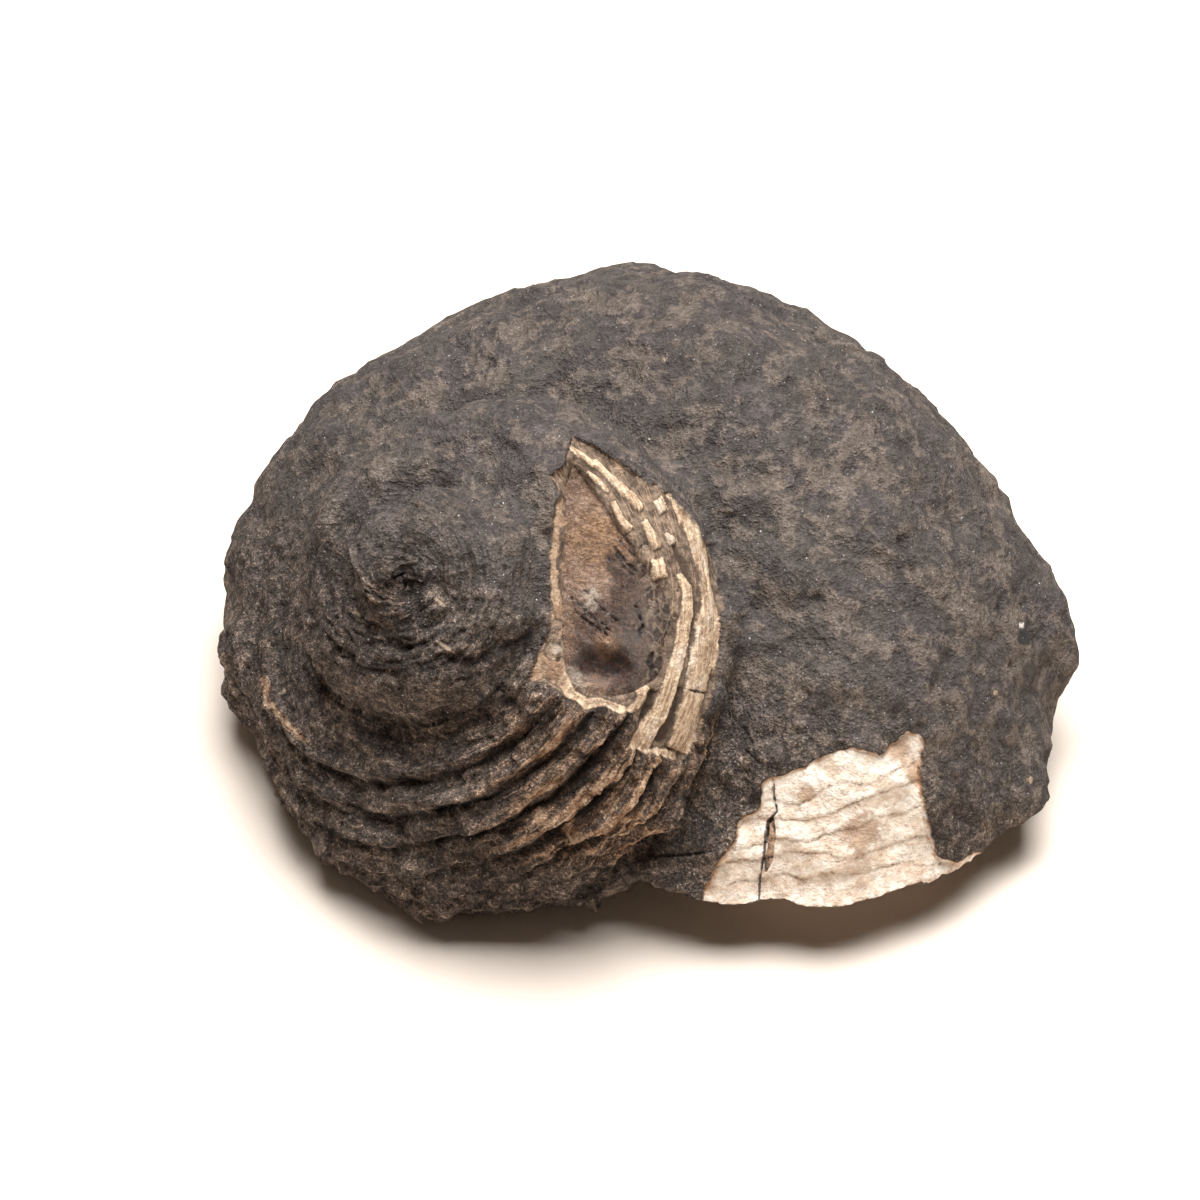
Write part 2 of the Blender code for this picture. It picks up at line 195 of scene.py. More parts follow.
# Cream remains of the shell's layers, as ribbons through (right, up, half width).
CREAM_LAYERS = (
    ((5.85, 4.30, 0.05), (6.30, 4.15, 0.11), (7.40, 3.45, 0.14), (8.10, 2.75, 0.18),
     (8.60, 2.30, 0.19), (9.00, 1.85, 0.16)),
    ((9.10, 1.45, 0.12), (9.40, 0.75, 0.19), (9.65, 0.35, 0.22)),
    ((9.62, -0.02, 0.27), (9.80, -0.80, 0.27)),
    ((6.85, 3.30, 0.07), (7.25, 2.95, 0.13), (7.70, 2.50, 0.09)),
    ((7.85, 2.15, 0.12), (8.25, 1.40, 0.14), (8.50, 1.00, 0.26)),
    ((9.60, 2.25, 0.15), (9.90, 1.75, 0.19)),
    ((9.95, 0.95, 0.12), (10.25, 0.50, 0.14)),
    ((10.45, -0.60, 0.14), (10.80, -1.30, 0.20), (10.70, -2.35, 0.24), (10.52, -3.40, 0.28),
     (10.30, -4.30, 0.32), (9.95, -5.30, 0.30), (9.60, -6.10, 0.32), (9.00, -6.95, 0.42),
     (8.75, -7.35, 0.36)),
    ((9.60, 2.95, 0.04), (10.25, 2.10, 0.15), (10.80, 1.25, 0.22), (11.20, 0.35, 0.24),
     (11.42, -0.65, 0.17), (11.55, -1.55, 0.20), (11.55, -2.60, 0.38), (11.40, -3.60, 0.45),
     (11.15, -4.60, 0.42), (10.90, -5.60, 0.36), (10.62, -6.70, 0.38), (10.35, -7.40, 0.38)),
    ((8.35, -7.25, 0.14), (9.10, -7.45, 0.16), (9.70, -7.40, 0.12), (10.30, -7.60, 0.16)),
)
# Thin cream edges of the broken whorl all round the window.
CREAM_EDGES = (
    ((5.40, 3.10, 0.12), (5.62, 2.60, 0.20), (5.82, 2.20, 0.14), (5.74, 1.55, 0.15),
     (5.60, 0.60, 0.19), (5.54, -0.20, 0.17), (5.54, -1.00, 0.17), (5.64, -1.65, 0.18),
     (5.74, -2.35, 0.12)),
    ((5.40, -2.50, 0.07), (5.20, -3.20, 0.10), (5.05, -3.80, 0.13)),
    ((5.80, -4.60, 0.15), (6.10, -5.10, 0.20), (6.55, -5.32, 0.20), (6.85, -5.60, 0.22),
     (7.30, -5.50, 0.22), (7.90, -5.72, 0.20), (8.40, -5.85, 0.16), (8.85, -5.62, 0.18),
     (9.00, -5.20, 0.22), (9.25, -4.85, 0.12)),
)
CREAM_SPUR = (
    (5.15, -3.50), (4.85, -4.15), (4.70, -4.70), (5.20, -4.55), (5.75, -4.85), (6.05, -5.20),
    (6.35, -5.00), (6.00, -4.45), (5.88, -3.70), (5.70, -3.95), (5.30, -3.95),
)
CLEAR_GRAIN = ((5.58, -3.45), 0.22)
DARK_PIT = ((5.62, -3.85), 0.11)
DARK_GROOVES = (
    ((9.50, -5.10, 0.12), (9.25, -5.75, 0.17), (8.95, -6.50, 0.12)),
    ((10.50, -5.00, 0.10), (10.20, -5.90, 0.24), (9.80, -6.80, 0.28), (9.60, -7.05, 0.20)),
    ((10.20, 0.80, 0.10), (10.70, -0.20, 0.16), (11.05, -1.30, 0.18), (11.15, -2.20, 0.12),
     (10.98, -3.20, 0.04), (10.85, -4.60, 0.04)),
)

# Lines where one layer of the chalky patch ends over the next, as (right, up).
LAYER_STEPS = (
    ((13.4, -9.35), (14.0, -9.26), (15.2, -9.11), (15.8, -8.66), (16.5, -8.40), (17.5, -8.51),
     (18.2, -8.20), (19.6, -7.60)),
    ((13.0, -10.0), (14.0, -9.82), (15.8, -9.71), (17.4, -9.11), (18.5, -8.70), (19.6, -8.33)),
    ((12.5, -10.9), (13.9, -10.72), (15.2, -10.72), (16.1, -10.5), (17.3, -10.2),
     (17.9, -9.90), (19.6, -9.41)),
    ((11.8, -11.6), (13.5, -11.4), (14.8, -11.13), (16.3, -11.4), (17.8, -11.02),
     (20.2, -10.5)),
    ((11.0, -12.5), (13.3, -12.14), (15.6, -12.07), (17.5, -11.85), (20.5, -11.6)),
)

# Cracks as ribbons through (right, up, half width): the patch's, then the crust's.
CRACKS = (
    ((13.80, -8.30, 0.02), (13.84, -8.90, 0.03), (13.95, -9.60, 0.04), (13.62, -10.02, 0.05),
     (13.52, -10.65, 0.05), (13.42, -11.50, 0.05), (13.30, -12.30, 0.04), (13.32, -13.30, 0.05)),
    ((12.10, -5.70, 0.02), (12.22, -6.10, 0.03), (12.42, -6.70, 0.01), (12.85, -7.30, 0.03),
     (13.45, -7.90, 0.02), (13.75, -8.30, 0.01)),
    ((12.25, -6.00, 0.01), (12.75, -6.45, 0.02), (13.10, -7.00, 0.03), (13.20, -7.60, 0.01)),
    ((9.45, -11.30, 0.03), (10.70, -11.22, 0.05), (11.75, -11.05, 0.03)),
    ((10.35, -4.98, 0.02), (10.90, -5.08, 0.03), (11.50, -5.20, 0.02)),
    ((8.85, 0.30, 0.02), (9.15, 0.60, 0.02), (9.40, 0.40, 0.02)),
)
# Tan stains on the patch.
STAINS = (((18.7, -7.2), 0.60), ((19.3, -8.3), 0.45), ((17.2, -10.5), 0.95),
          ((15.1, -9.0), 0.45))
# Brown scar beside the patch's crack.
SCAR = (
    ((13.80, -9.90, 0.06), (13.72, -10.30, 0.15), (13.74, -11.00, 0.13), (13.66, -11.40, 0.13),
     (13.50, -12.00, 0.07)),
)

# Ragged furrows of the spire and creases of the crust, as ribbons through (right, up, half
# width).
FURROWS = (
    ((-3.25, 0.60, -0.04), (-3.80, -1.90, 0.00), (-2.90, -3.05, 0.06), (-1.65, -4.25, 0.16),
     (0.05, -4.50, 0.20), (2.50, -3.95, 0.16), (4.00, -3.30, 0.06), (5.30, -2.60, 0.02)),
    ((-1.50, -3.27, 0.03), (0.00, -3.45, 0.06), (1.00, -3.20, 0.03)),
    ((-1.20, -3.95, 0.03), (0.60, -4.10, 0.07), (2.20, -3.75, 0.03)),
    ((-2.05, 0.70, 0.04), (-2.10, -0.20, 0.09), (-1.90, -0.95, 0.06)),
    ((4.45, -2.55, 0.02), (4.90, -2.70, 0.05), (5.30, -2.60, 0.02)),
    ((10.80, 8.90, -0.02), (11.35, 8.25, 0.03)),
    ((9.40, 7.70, 0.02), (9.90, 7.10, -0.02)),
    ((18.20, 1.52, -0.05), (18.77, 0.51, 0.02), (19.20, -0.60, 0.02), (19.40, -2.60, -0.05)),
    ((20.08, 1.71, -0.04), (20.38, 0.59, 0.00), (20.72, -0.54, -0.02)),
    ((22.20, -0.35, -0.04), (22.36, -1.28, 0.02), (22.50, -2.03, -0.02)),
)
# Thin raised lines of the worn apex, the brown glow round them, and light, crumbly lumps.
SWIRL = (
    ((-1.43, -0.79, 0.04), (-1.21, -1.10, 0.05), (-0.96, -1.22, 0.05), (-0.58, -1.16, 0.04),
     (-0.27, -1.28, 0.04)),
    ((-1.43, -0.97, 0.04), (-1.15, -1.35, 0.05), (-0.71, -1.60, 0.06), (-0.27, -1.60, 0.04)),
    ((-1.49, -1.10, 0.03), (-1.27, -1.50, 0.05), (-0.90, -1.78, 0.05), (-0.46, -1.82, 0.03)),
    ((-0.15, -0.32, 0.03), (0.48, -0.25, 0.05)),
    ((-0.21, -0.88, 0.03), (0.23, -0.79, 0.05), (0.63, -0.97, 0.04)),
    ((-1.77, 0.34, 0.06), (-1.76, -0.28, 0.08), (-1.60, -0.72, 0.06)),
)
SWIRL_BROWN = ((-0.75, -1.45), 0.75)
CRUMBS = (((2.30, -2.35), 0.50), ((2.60, -3.45), 0.32), ((1.15, -1.45), 0.35))
# The apex hollow is sunk, and darkened with painted shade.
APEX_HOLLOW = ((0.25, -1.35), 0.48)
# Bare tan places between the cords.
BARE_SPOTS = (((5.0, -9.7), 0.50), ((6.3, -10.3), 0.45), ((7.0, -11.0), 0.40),
              ((8.3, -9.9), 0.30))
# The worn left end of the first cord.
WORN_END = (
    ((-5.30, -4.50, 0.18), (-4.95, -5.60, 0.16), (-4.15, -6.60, 0.13), (-3.20, -7.20, 0.07)),
)

# Pale flecks, and a glassy dark one with a painted glint, as (right, up) and radius.
PALE_FLECKS = (
    ((22.20, -5.15), 0.11), ((23.60, -8.45), 0.13), ((-1.85, -2.15), 0.09),
    ((13.55, -6.00), 0.08), ((-4.55, -5.10), 0.12), ((9.80, 7.40), 0.11),
)
GLASSY_FLECK, GLASSY_GLINT = ((23.30, -3.05), 0.34), ((23.20, -2.62), 0.12)
# Fine raised threads that lie on the crust.
THREADS = (
    ((-1.90, -1.96, 0.05), (-1.66, -2.24, 0.04)),
    ((1.28, -3.22, 0.05), (1.88, -3.66, 0.04)),
    ((1.09, -1.55, 0.04), (1.62, -1.92, 0.04)),
    ((2.50, 8.97, 0.04), (5.10, 9.15, 0.05), (7.70, 9.27, 0.03)),
)

# Heights of the marks over or under the crust, and the widths over which they change.
FURROW_DEPTH, FURROW_WIDTH = 0.19, 0.4
CRUST_DEPTH = 0.28
LEDGE_WIDTH = 0.10
LAYER_STEP, LAYER_STEP_WIDTH = 0.055, 0.10
LAYER_LIP, LAYER_LIP_WIDTH = 0.05, 0.12
SCAR_DEPTH, SCAR_WIDTH = 0.16, 0.08
CRACK_DEPTH, CRACK_WIDTH = 0.22, 0.05
THREAD_HEIGHT, THREAD_WIDTH = 0.05, 0.04
PIT_DEPTH = 0.14
BARED_DEPTH, CREAM_DEPTH, GROOVE_DEPTH = 0.27, 0.12, 0.44
BARED_WIDTH, CREAM_WIDTH = 0.35, 0.07
SPLINTER_GAP = 0.05
POCKET_DEPTH, POCKET_WIDTH = 1.25, 0.28
KNOB_HEIGHT, KNOB_WIDTH = 0.18, 0.05
HOLLOW_DEPTH = 0.32

# Noises, each a sum of (height, size), or of (height, length, width) where they run along
# the whorl or in rings.
JAGS = ((0.09, 0.42), (0.045, 0.17))
SPLINTERS = ((0.09, 1.6, 0.24), (0.04, 0.9, 0.14))
FURROW_RAGS = ((0.12, 0.9, 0.30),)
BRUISES = ((0.07, 0.9), (0.05, 0.45), (0.015, 0.22))
BARED_GRAIN = ((0.04, 0.3), (0.015, 0.14))
CRUST_GRAIN = ((0.085, 0.90), (0.080, 0.45), (0.035, 0.22))
SCAB_GRAIN, SCAB_HEIGHT = ((1.0, 1.9), (0.5, 0.7)), 0.080
SPIRE_RINGS = ((0.085, 2.6, 0.42), (0.065, 1.6, 0.20))
CORD_STREAKS = ((0.12, 2.6, 0.45), (0.09, 1.0, 0.2))
FLAKE_RUNS, FLAKE_GRAIN = ((1.0, 2.2, 0.8),), ((0.5, 0.5),)
LAYER_WAVES = ((0.28, 1.3),)
WORN_PATCHES = ((1.0, 2.6, 0.50), (0.5, 0.9, 0.25))

# Scabs, pits, flakes and crumbs of the crust: the noise at which each starts and how soon it
# is full.
SCAB_STARTS, SCAB_EDGE = 0.12, 0.10
PIT_SIZE, PIT_STARTS, PIT_EDGE, PIT_SHIFT = 0.8, 0.32, 0.20, 40.0
FLAKE_HEIGHT, FLAKE_STARTS, FLAKE_EDGE = 0.17, 0.05, 0.10
CRUMB_HEIGHT, CRUMB_GRAIN = 0.10, ((0.15, 0.28),)

# Ragged ledges below the spire's top: how far apart they are, their height, how steeply each
# breaks off, how far out they reach, and the noises that bend, fray and thin them out.
LEDGE_STEP, LEDGE_HEIGHT, LEDGE_BREAK = 0.44, 0.28, 0.22
LEDGE_REACH, LEDGE_FADE, LEDGE_SIDE = 5.6, 1.2, 0.45
LEDGE_BENDS, LEDGE_FRAYS = ((0.8, 2.6, 1.1),), ((0.75, 0.55),)
LEDGE_PATCHES, LEDGE_GRAIN = ((0.9, 1.6, 0.9),), ((0.07, 0.35),)
RING_REACH, RING_FADE = 9.0, 3.0
SPIRE_STARTS, SPIRE_FADE = -1.12, 0.12
SPIRE_MARK_REACH, SPIRE_MARK_FADE = 5.5, 3.0
RELIEF_UNIT = 0.1

# Dust on the lip's rim, left of the chalky patch.
RIM_WIDTH, RIM_MIDDLE, RIM_REACH = 0.16, 8.0, 3.2

# How finely the form is found and meshed, and which parts of it get smaller faces.
CENTRE = APEX + (8.5, 5.5, -7.5)
REACH = 24.0
STEP = 0.5
HALVINGS = 12
SUBDIVISIONS = 6
MESH_STEP = 0.40
FIRST_SETTLING, LAST_SETTLING = 2, 3
FINE_FACING, FINER_FACING = 0.12, 0.05
DETAIL_MARGIN, BED_MARGIN, CORD_MARGIN = 0.3, 0.6, 0.05
DETAILED_CORDS_TOP = -4.5
DETAILED_SPIRE, DETAILED_SPIRE_TOP = 4.8, 0.5
KNOB, KNOB_RADIUS = (-0.3, -0.9), 1.9
PROBE = 0.02
LEAST_STEEPNESS = 0.3


def unit(vector):
    """The direction of a vector."""
    vector = np.asarray(vector, float)
    return vector / np.linalg.norm(vector)


def face_axes():
    """Right, up and outward directions of the tipped face."""
    tilt = math.radians(FACE_TILT)
    return np.array(((1.0, 0.0, 0.0), (0.0, math.sin(tilt), math.cos(tilt)),
                     (0.0, -math.cos(tilt), math.sin(tilt))))


def shell_axes():
    """Two directions across the shell's axis, and the axis itself towards the apex."""
    lean, heading = math.radians(AXIS_LEAN), math.radians(AXIS_HEADING)
    flat = np.array((math.cos(heading), math.sin(heading), 0.0))
    across = flat * math.cos(lean) - np.array((0.0, 0.0, math.sin(lean)))
    axis = flat * math.sin(lean) + np.array((0.0, 0.0, math.cos(lean)))
    return np.array((across, np.cross(axis, across), axis))


FACE = face_axes()
SHELL = shell_axes()


def from_face(places):
    """Points of the part from their right, up and outward places on the face."""
    return APEX + np.asarray(places, float) @ FACE


def to_face(points):
    """Right, up and outward places on the face from points of the part."""
    return (points - APEX) @ FACE.T


def ease(value):
    """Smooth step from 0 to 1."""
    value = np.clip(value, 0.0, 1.0)
    return value * value * (3.0 - 2.0 * value)


def soft_min(one, two, softness):
    """The lesser of two heights, rounded where they meet."""
    blend = np.maximum(softness - np.abs(one - two), 0.0) / softness
    return np.minimum(one, two) - blend * blend * softness * 0.25


def grain(points, size=1.0):
    """Smooth noise from -1 to 1 whose lumps are about one size across."""
    return np.array([noise.noise(point) for point in points / size])


def flow(turn, angle, length, width):
    """Places on the coil that make grain longer along the whorl than across it."""
    across = angle * (DEGREE_WIDTH / width)
    return np.c_[turn * (WHORL_LENGTH / length), across, np.zeros(len(turn))]


def rings(places, length, width):
    """Places on the face that make grain run in rings about the spire's top."""
    offset = places[:, :2] - SPIRE_SHIFT
    away = np.hypot(*offset.T)
    around = offset / np.maximum(away, 0.01)[:, None] * (RING_RADIUS / length)
    return np.c_[around, away / width]


def grains(points, noises):
    """Noises of several sizes added up."""
    return sum(height * grain(points, size) for height, size in noises)


def flowing(turn, angle, noises):
    """Noises that are long along the whorl added up."""
    return sum(height * grain(flow(turn, angle, length, width))
               for height, length, width in noises)


def ringing(places, noises):
    """Noises that run in rings about the spire's top added up."""
    return sum(height * grain(rings(places, length, width)) for height, length, width in noises)


def spot(places, middle, radius):
    """A soft round spot on the face, 1 in its middle."""
    return np.exp(-((places[:, :2] - middle) ** 2).sum(1) / radius ** 2)


def spots(places, group):
    """Soft round spots added up, each as its middle and radius."""
    return sum(spot(places, *place) for place in group)


def depth_inside(places, outline):
    """Distance to an outline on the face, positive inside it."""
    corners = np.array(outline, float)
    nearest = np.full(len(places), np.inf)
    inside = np.zeros(len(places), bool)
    x, y = places[:, 0], places[:, 1]
    for start, end in zip(corners, np.roll(corners, -1, axis=0)):
        edge = end - start
        from_start = places[:, :2] - start
        share = np.clip(from_start @ edge / (edge @ edge), 0.0, 1.0)
        nearest = np.minimum(nearest, np.linalg.norm(from_start - share[:, None] * edge, axis=1))
        spans = (start[1] > y) != (end[1] > y)
        rise = edge[1] if edge[1] else 1.0
        inside ^= spans & (x < start[0] + edge[0] * (y - start[1]) / rise)
    return np.where(inside, nearest, -nearest)


def depth_in_ribbons(places, ribbons):
    """Distance to the edge of the nearest square-ended ribbon on the face, positive inside."""
    deepest = np.full(len(places), -np.inf)
    for ribbon in ribbons:
        course = np.array(ribbon, float)
        for number, (start, end) in enumerate(zip(course, course[1:])):
            edge = end[:2] - start[:2]
            length = np.linalg.norm(edge)
            from_start = places[:, :2] - start[:2]
            along = from_start @ edge / length
            share = np.clip(along / length, 0.0, 1.0)
            away = np.linalg.norm(from_start - share[:, None] * edge, axis=1)
            depth = start[2] + share * (end[2] - start[2]) - away
            if number == 0:
                depth = np.minimum(depth, along)
            if number == len(course) - 2:
                depth = np.minimum(depth, length - along)
            deepest = np.maximum(deepest, depth)
    return deepest


def whorl_scale(turn):
    """Size of the whorl at a turn of the coil, which is 0 near the lip."""
    return LIP_SCALE * np.exp(GROWTH * turn + GROWTH_SLOWING * turn * turn)


def mouth(points, turn, tube):
    """Height past the lip's plane, sunk by the recess where the tube is filled with rock."""
    lip = (points - from_face(LIP_PLACE)) @ unit(LIP_FACING)
    starts, full = LIP_STARTS
    early = 1.0 - ease((turn - starts) / (full - starts))
    sunk = ease((-tube - LIP_WALL) / LIP_WALL)
    return lip + ROCK_RECESS * sunk - REACH * early


def coil(points):
    """Height outside the whorls, the turn and angle on the tube, and the next whorl's height."""
    offset = points - APEX
    nearness = np.exp(-(offset ** 2).sum(1) / SPIRE_REACH ** 2)
    offset = offset - np.multiply.outer(nearness, SPIRE_SHIFT @ FACE[:2])
    x, y, along = (offset @ SHELL.T).T
    away = np.hypot(x, y)
    turns = (math.radians(LIP_ANGLE) - np.arctan2(y, x)) / math.tau
    newest = LAST_TURN - (LAST_TURN - turns) % 1.0
    roll = math.radians(TUBE_ROLL)
    height = np.maximum(away + COLUMELLA_SLOPE * along, -along - COLUMELLA_END)
    nearest = np.full(len(points), np.inf)
    next_height = nearest.copy()
    turn_here, angle_here = newest.copy(), np.zeros(len(points))
    for older in range(WHORLS_LOOKED_AT):
        turn = newest - older
        scale = whorl_scale(turn)
        from_middle = away - scale * (TUBE_OUT + TUBE_OUT_GAIN * turn)
        above_middle = along + scale * (TUBE_DROP + TUBE_DROP_GAIN * turn)
        wide = (from_middle * math.cos(roll) + above_middle * math.sin(roll)) / TUBE_WIDTH
        high = (above_middle * math.cos(roll) - from_middle * math.sin(roll)) / TUBE_HEIGHT
        tube = (np.hypot(wide, high) - scale) * TUBE_WIDTH
        if older == 0:
            tube = np.maximum(tube, mouth(points, turn, tube))
        closer = tube < nearest
        next_height = np.minimum(next_height, np.where(closer, nearest, tube))
        nearest = np.where(closer, tube, nearest)
        turn_here = np.where(closer, turn, turn_here)
        angle_here = np.where(closer, np.degrees(np.arctan2(high, wide)), angle_here)
        softness = SUTURE_SOFTNESS + (SPIRE_SOFTNESS - SUTURE_SOFTNESS) * ease(-1.0 - turn)
        height = soft_min(height, tube, softness)
    return height, turn_here, angle_here, next_height


def outside(points, relief=0.0):
    """Height outside the fossil, which stands out by the relief but ends at the table."""
    height, turn, angle, _ = coil(points)
    rock = (np.linalg.norm((points - ROCK_PLACE) / ROCK_RADII, axis=1) - 1.0) * min(ROCK_RADII)
    over_table = points[:, 2] + TABLE_SINK
    back = ease((points[:, 1] - BACK_STARTS) / (BACK_FULL - BACK_STARTS))
    softness = TABLE_SOFTNESS + (BACK_SOFTNESS - TABLE_SOFTNESS) * back
    shell = -soft_min(relief - height, over_table, softness)
    rock = -soft_min(relief - rock, over_table, TABLE_SOFTNESS)
    return soft_min(shell, rock, ROCK_SOFTNESS), turn, angle


def outermost(origins, directions):
    """The farthest point of the fossil along each line."""
    origins = np.broadcast_to(origins, directions.shape)
    reach = np.full(len(directions), REACH)
    waiting = np.arange(len(directions))
    while len(waiting):
        tried = origins[waiting] + directions[waiting] * reach[waiting, None]
        free = outside(tried)[0] > 0.0
        waiting = waiting[free & (reach[waiting] > STEP)]
        reach[waiting] -= STEP
    low, high = reach, reach + STEP
    for _ in range(HALVINGS):
        middle = (low + high) / 2.0
        free = outside(origins + directions * middle[:, None])[0] > 0.0
        high = np.where(free, middle, high)
        low = np.where(free, low, middle)
    return origins + directions * low[:, None]


def lip_nearness(points, turn, width):
    """1 at the edge of the mouth's lip, 0 away from it."""
    lip = (points - from_face(LIP_PLACE)) @ unit(LIP_FACING)
    return np.exp(-(lip / width) ** 2) * (turn > LIP_STARTS[0])


def cords(turn, angle):
    """Ridges round the whorl, how bold they are, and the share of a step below their crests."""
    bend = np.minimum(np.abs(turn - CORD_BEND_TURN), CORD_BEND_REACH) ** 2 * CORD_BEND
    place = (FIRST_CORD - angle) / CORD_STEP - bend + flowing(turn, angle, CORD_WANDER)
    nearest = np.clip(np.round(place), CORDS_ABOVE, CORDS_BELOW)
    below = place - nearest
    ridge = np.exp(-(below / np.where(below < 0.0, UPPER_FLANK, LOWER_FLANK)) ** 2)
    ridge -= UNDERCUT * np.exp(-((below - UNDERCUT_PLACE) / UNDERCUT_WIDTH) ** 2)
    ridge *= CORD_EVENNESS + CORD_UNEVENNESS * grain(flow(turn, angle, 1.3, 1.0))
    rise, full, fall, gone = BOLD_CORDS
    bold = ease((turn - rise) / (full - rise)) * ease((gone - turn) / (gone - fall))
    return ridge * (PLAIN_CORDS + (1.0 - PLAIN_CORDS) * bold), bold, below


def broad_relief(points, turn, angle):
    """Height of the cords, lumps and swellings, which fade out where the layers are bared."""
    places = to_face(points)
    total = grains(points, LUMPS)
    total *= 1.0 - LIP_EVENNESS * lip_nearness(points, turn, LIP_BAND)
    bared = (places[:, 2] > LOWEST_MARK) * ease(depth_inside(places, BARED) / BARED_WIDTH + 0.5)
    total *= 1.0 - bared
    total += CORD_HEIGHT * cords(turn, angle)[0] * (1.0 - bared)
    for place, radius, height in SWELLINGS:
        total += height * np.exp(-(np.linalg.norm(places - place, axis=1) / radius) ** 2)
    return total


def settle(points, rounds):
    """Moves points onto the fossil's surface, and gives its steepest direction at each."""
    for _ in range(rounds):
        _, turn, angle = outside(points)
        standing = broad_relief(points, turn, angle)
        height = outside(points, standing)[0]
        slope = np.empty_like(points)
        for axis in range(3):
            probe = np.zeros(3)
            probe[axis] = PROBE
            ahead = outside(points + probe, standing)[0]
            behind = outside(points - probe, standing)[0]
            slope[:, axis] = (ahead - behind) / (2.0 * PROBE)
        steepness = np.maximum((slope ** 2).sum(1), LEAST_STEEPNESS)
        points = points - np.clip(height / steepness, -MESH_STEP, MESH_STEP)[:, None] * slope
    return points, slope / np.linalg.norm(slope, axis=1)[:, None]


def relax(mesh, points):
    """Moves each point to the middle of its neighbours, which evens out a stretched mesh."""
    ends = np.empty(len(mesh.edges) * 2, np.int32)
    mesh.edges.foreach_get("vertices", ends)
    one, two = ends.reshape(-1, 2).T
    count = np.bincount(ends, minlength=len(points))
    total = np.stack([np.bincount(one, points[two, axis], len(points))
                      + np.bincount(two, points[one, axis], len(points)) for axis in range(3)], 1)
    return total / count[:, None]


def mesh_values(items, name, width=1):
    """One attribute of a mesh's vertices or faces as an array."""
    values = np.empty(len(items) * width, np.float32)
    items.foreach_get(name, values)
    return values.reshape(-1, width).astype(float) if width > 1 else values.astype(float)


def put_points(mesh, points):
    """Moves a mesh's vertices."""
    mesh.vertices.foreach_set("co", np.asarray(points, np.float32).ravel())
    mesh.update()


def put_marks(mesh, marks):
    """Stores named values on a mesh's vertices, for its finish to read."""
    for name, values in marks.items():
        layer = mesh.attributes.new(name, "FLOAT", "POINT")
        layer.data.foreach_set("value", np.asarray(values, np.float32))


def new_piece(name, mesh, node):
    """A piece of the fossil that stands for one of its solids."""
    piece = bpy.data.objects.new(name, mesh)
    bpy.context.scene.collection.objects.link(piece)
    mesh.shade_smooth()
    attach(piece, "root")
    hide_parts(node)
    return piece


def even_ball():
    """An even mesh of the smooth form: a ball drawn in to it and meshed again."""
    ball = bmesh.new()
    bmesh.ops.create_icosphere(ball, subdivisions=SUBDIVISIONS, radius=1.0)
    mesh = bpy.data.meshes.new("ball")
    ball.to_mesh(mesh)
    ball.free()
    directions = mesh_values(mesh.vertices, "co", 3)
    directions /= np.linalg.norm(directions, axis=1)[:, None]
    put_points(mesh, outermost(CENTRE, directions))
    item = bpy.data.objects.new("ball", mesh)
    bpy.context.scene.collection.objects.link(item)
    even = item.modifiers.new("even mesh", "REMESH")
    even.mode = "VOXEL"
    even.voxel_size = MESH_STEP
    graph = bpy.context.evaluated_depsgraph_get()
    even_mesh = bpy.data.meshes.new_from_object(item.evaluated_get(graph))
    bpy.data.objects.remove(item, do_unlink=True)
    return even_mesh


def split_faces(mesh, chosen):
    """Splits the chosen faces in four."""
    form = bmesh.new()
    form.from_mesh(mesh)
    form.faces.ensure_lookup_table()
    edges = {edge for index in np.flatnonzero(chosen) for edge in form.faces[index].edges}
    bmesh.ops.subdivide_edges(form, edges=list(edges), cuts=1, use_grid_fill=True)
    form.to_mesh(mesh)
    form.free()


def facing(mesh):
    """How far each face looks out of the face plane, and where its middle is on it."""
    mesh.update()
    outward = mesh_values(mesh.polygons, "normal", 3) @ FACE[2]
    return outward, to_face(mesh_values(mesh.polygons, "center", 3))


def crust_grain(places, points, turn, angle, bold):
    """Fine lumps, scabs, pits and ledges of the crust, which run in rings and along the cords."""
    spire = ease((SPIRE_STARTS - turn) / SPIRE_FADE)
    offset = places[:, :2] - SPIRE_SHIFT
    away = np.hypot(*offset.T)
    under = ease(LEDGE_SIDE - offset[:, 1] / np.maximum(away, 0.01))
    under *= ease((LEDGE_REACH - away) / LEDGE_FADE)
    scabs = ease((grains(points, SCAB_GRAIN) - SCAB_STARTS) / SCAB_EDGE)
    pits = ease((grain(points + PIT_SHIFT, PIT_SIZE) - PIT_STARTS) / PIT_EDGE)
    ringed = ringing(places, SPIRE_RINGS) * ease((RING_REACH - away) / RING_FADE)
    phase = away / LEDGE_STEP + ringing(places, LEDGE_BENDS) + grains(points, LEDGE_FRAYS)
    tooth = phase - np.floor(phase)
    patchy = ease(0.6 + ringing(places, LEDGE_PATCHES))
    ledges = LEDGE_HEIGHT * (tooth * ease((1.0 - tooth) / LEDGE_BREAK) - 0.4) * patchy
    ledges += grains(points, LEDGE_GRAIN)
    flakes = flowing(turn, angle, FLAKE_RUNS) + grains(points, FLAKE_GRAIN)
    streaks = flowing(turn, angle, CORD_STREAKS)
    streaks += FLAKE_HEIGHT * ease((flakes - FLAKE_STARTS) / FLAKE_EDGE)
    total = grains(points, CRUST_GRAIN) + SCAB_HEIGHT * scabs - PIT_DEPTH * pits
    knob = ease(depth_in_ribbons(places, SWIRL) / KNOB_WIDTH + 0.5) * (places[:, 2] > -4.0)
    total += KNOB_HEIGHT * knob - HOLLOW_DEPTH * spot(places, *APEX_HOLLOW)
    crumbly = CRUMB_HEIGHT + grains(points, CRUMB_GRAIN)
    for crumb in CRUMBS:
        total += crumbly * spot(places, *crumb)
    total += spire * (ringed + ledges * under * ease(away / 1.6 - 0.4))
    return total + bold * streaks


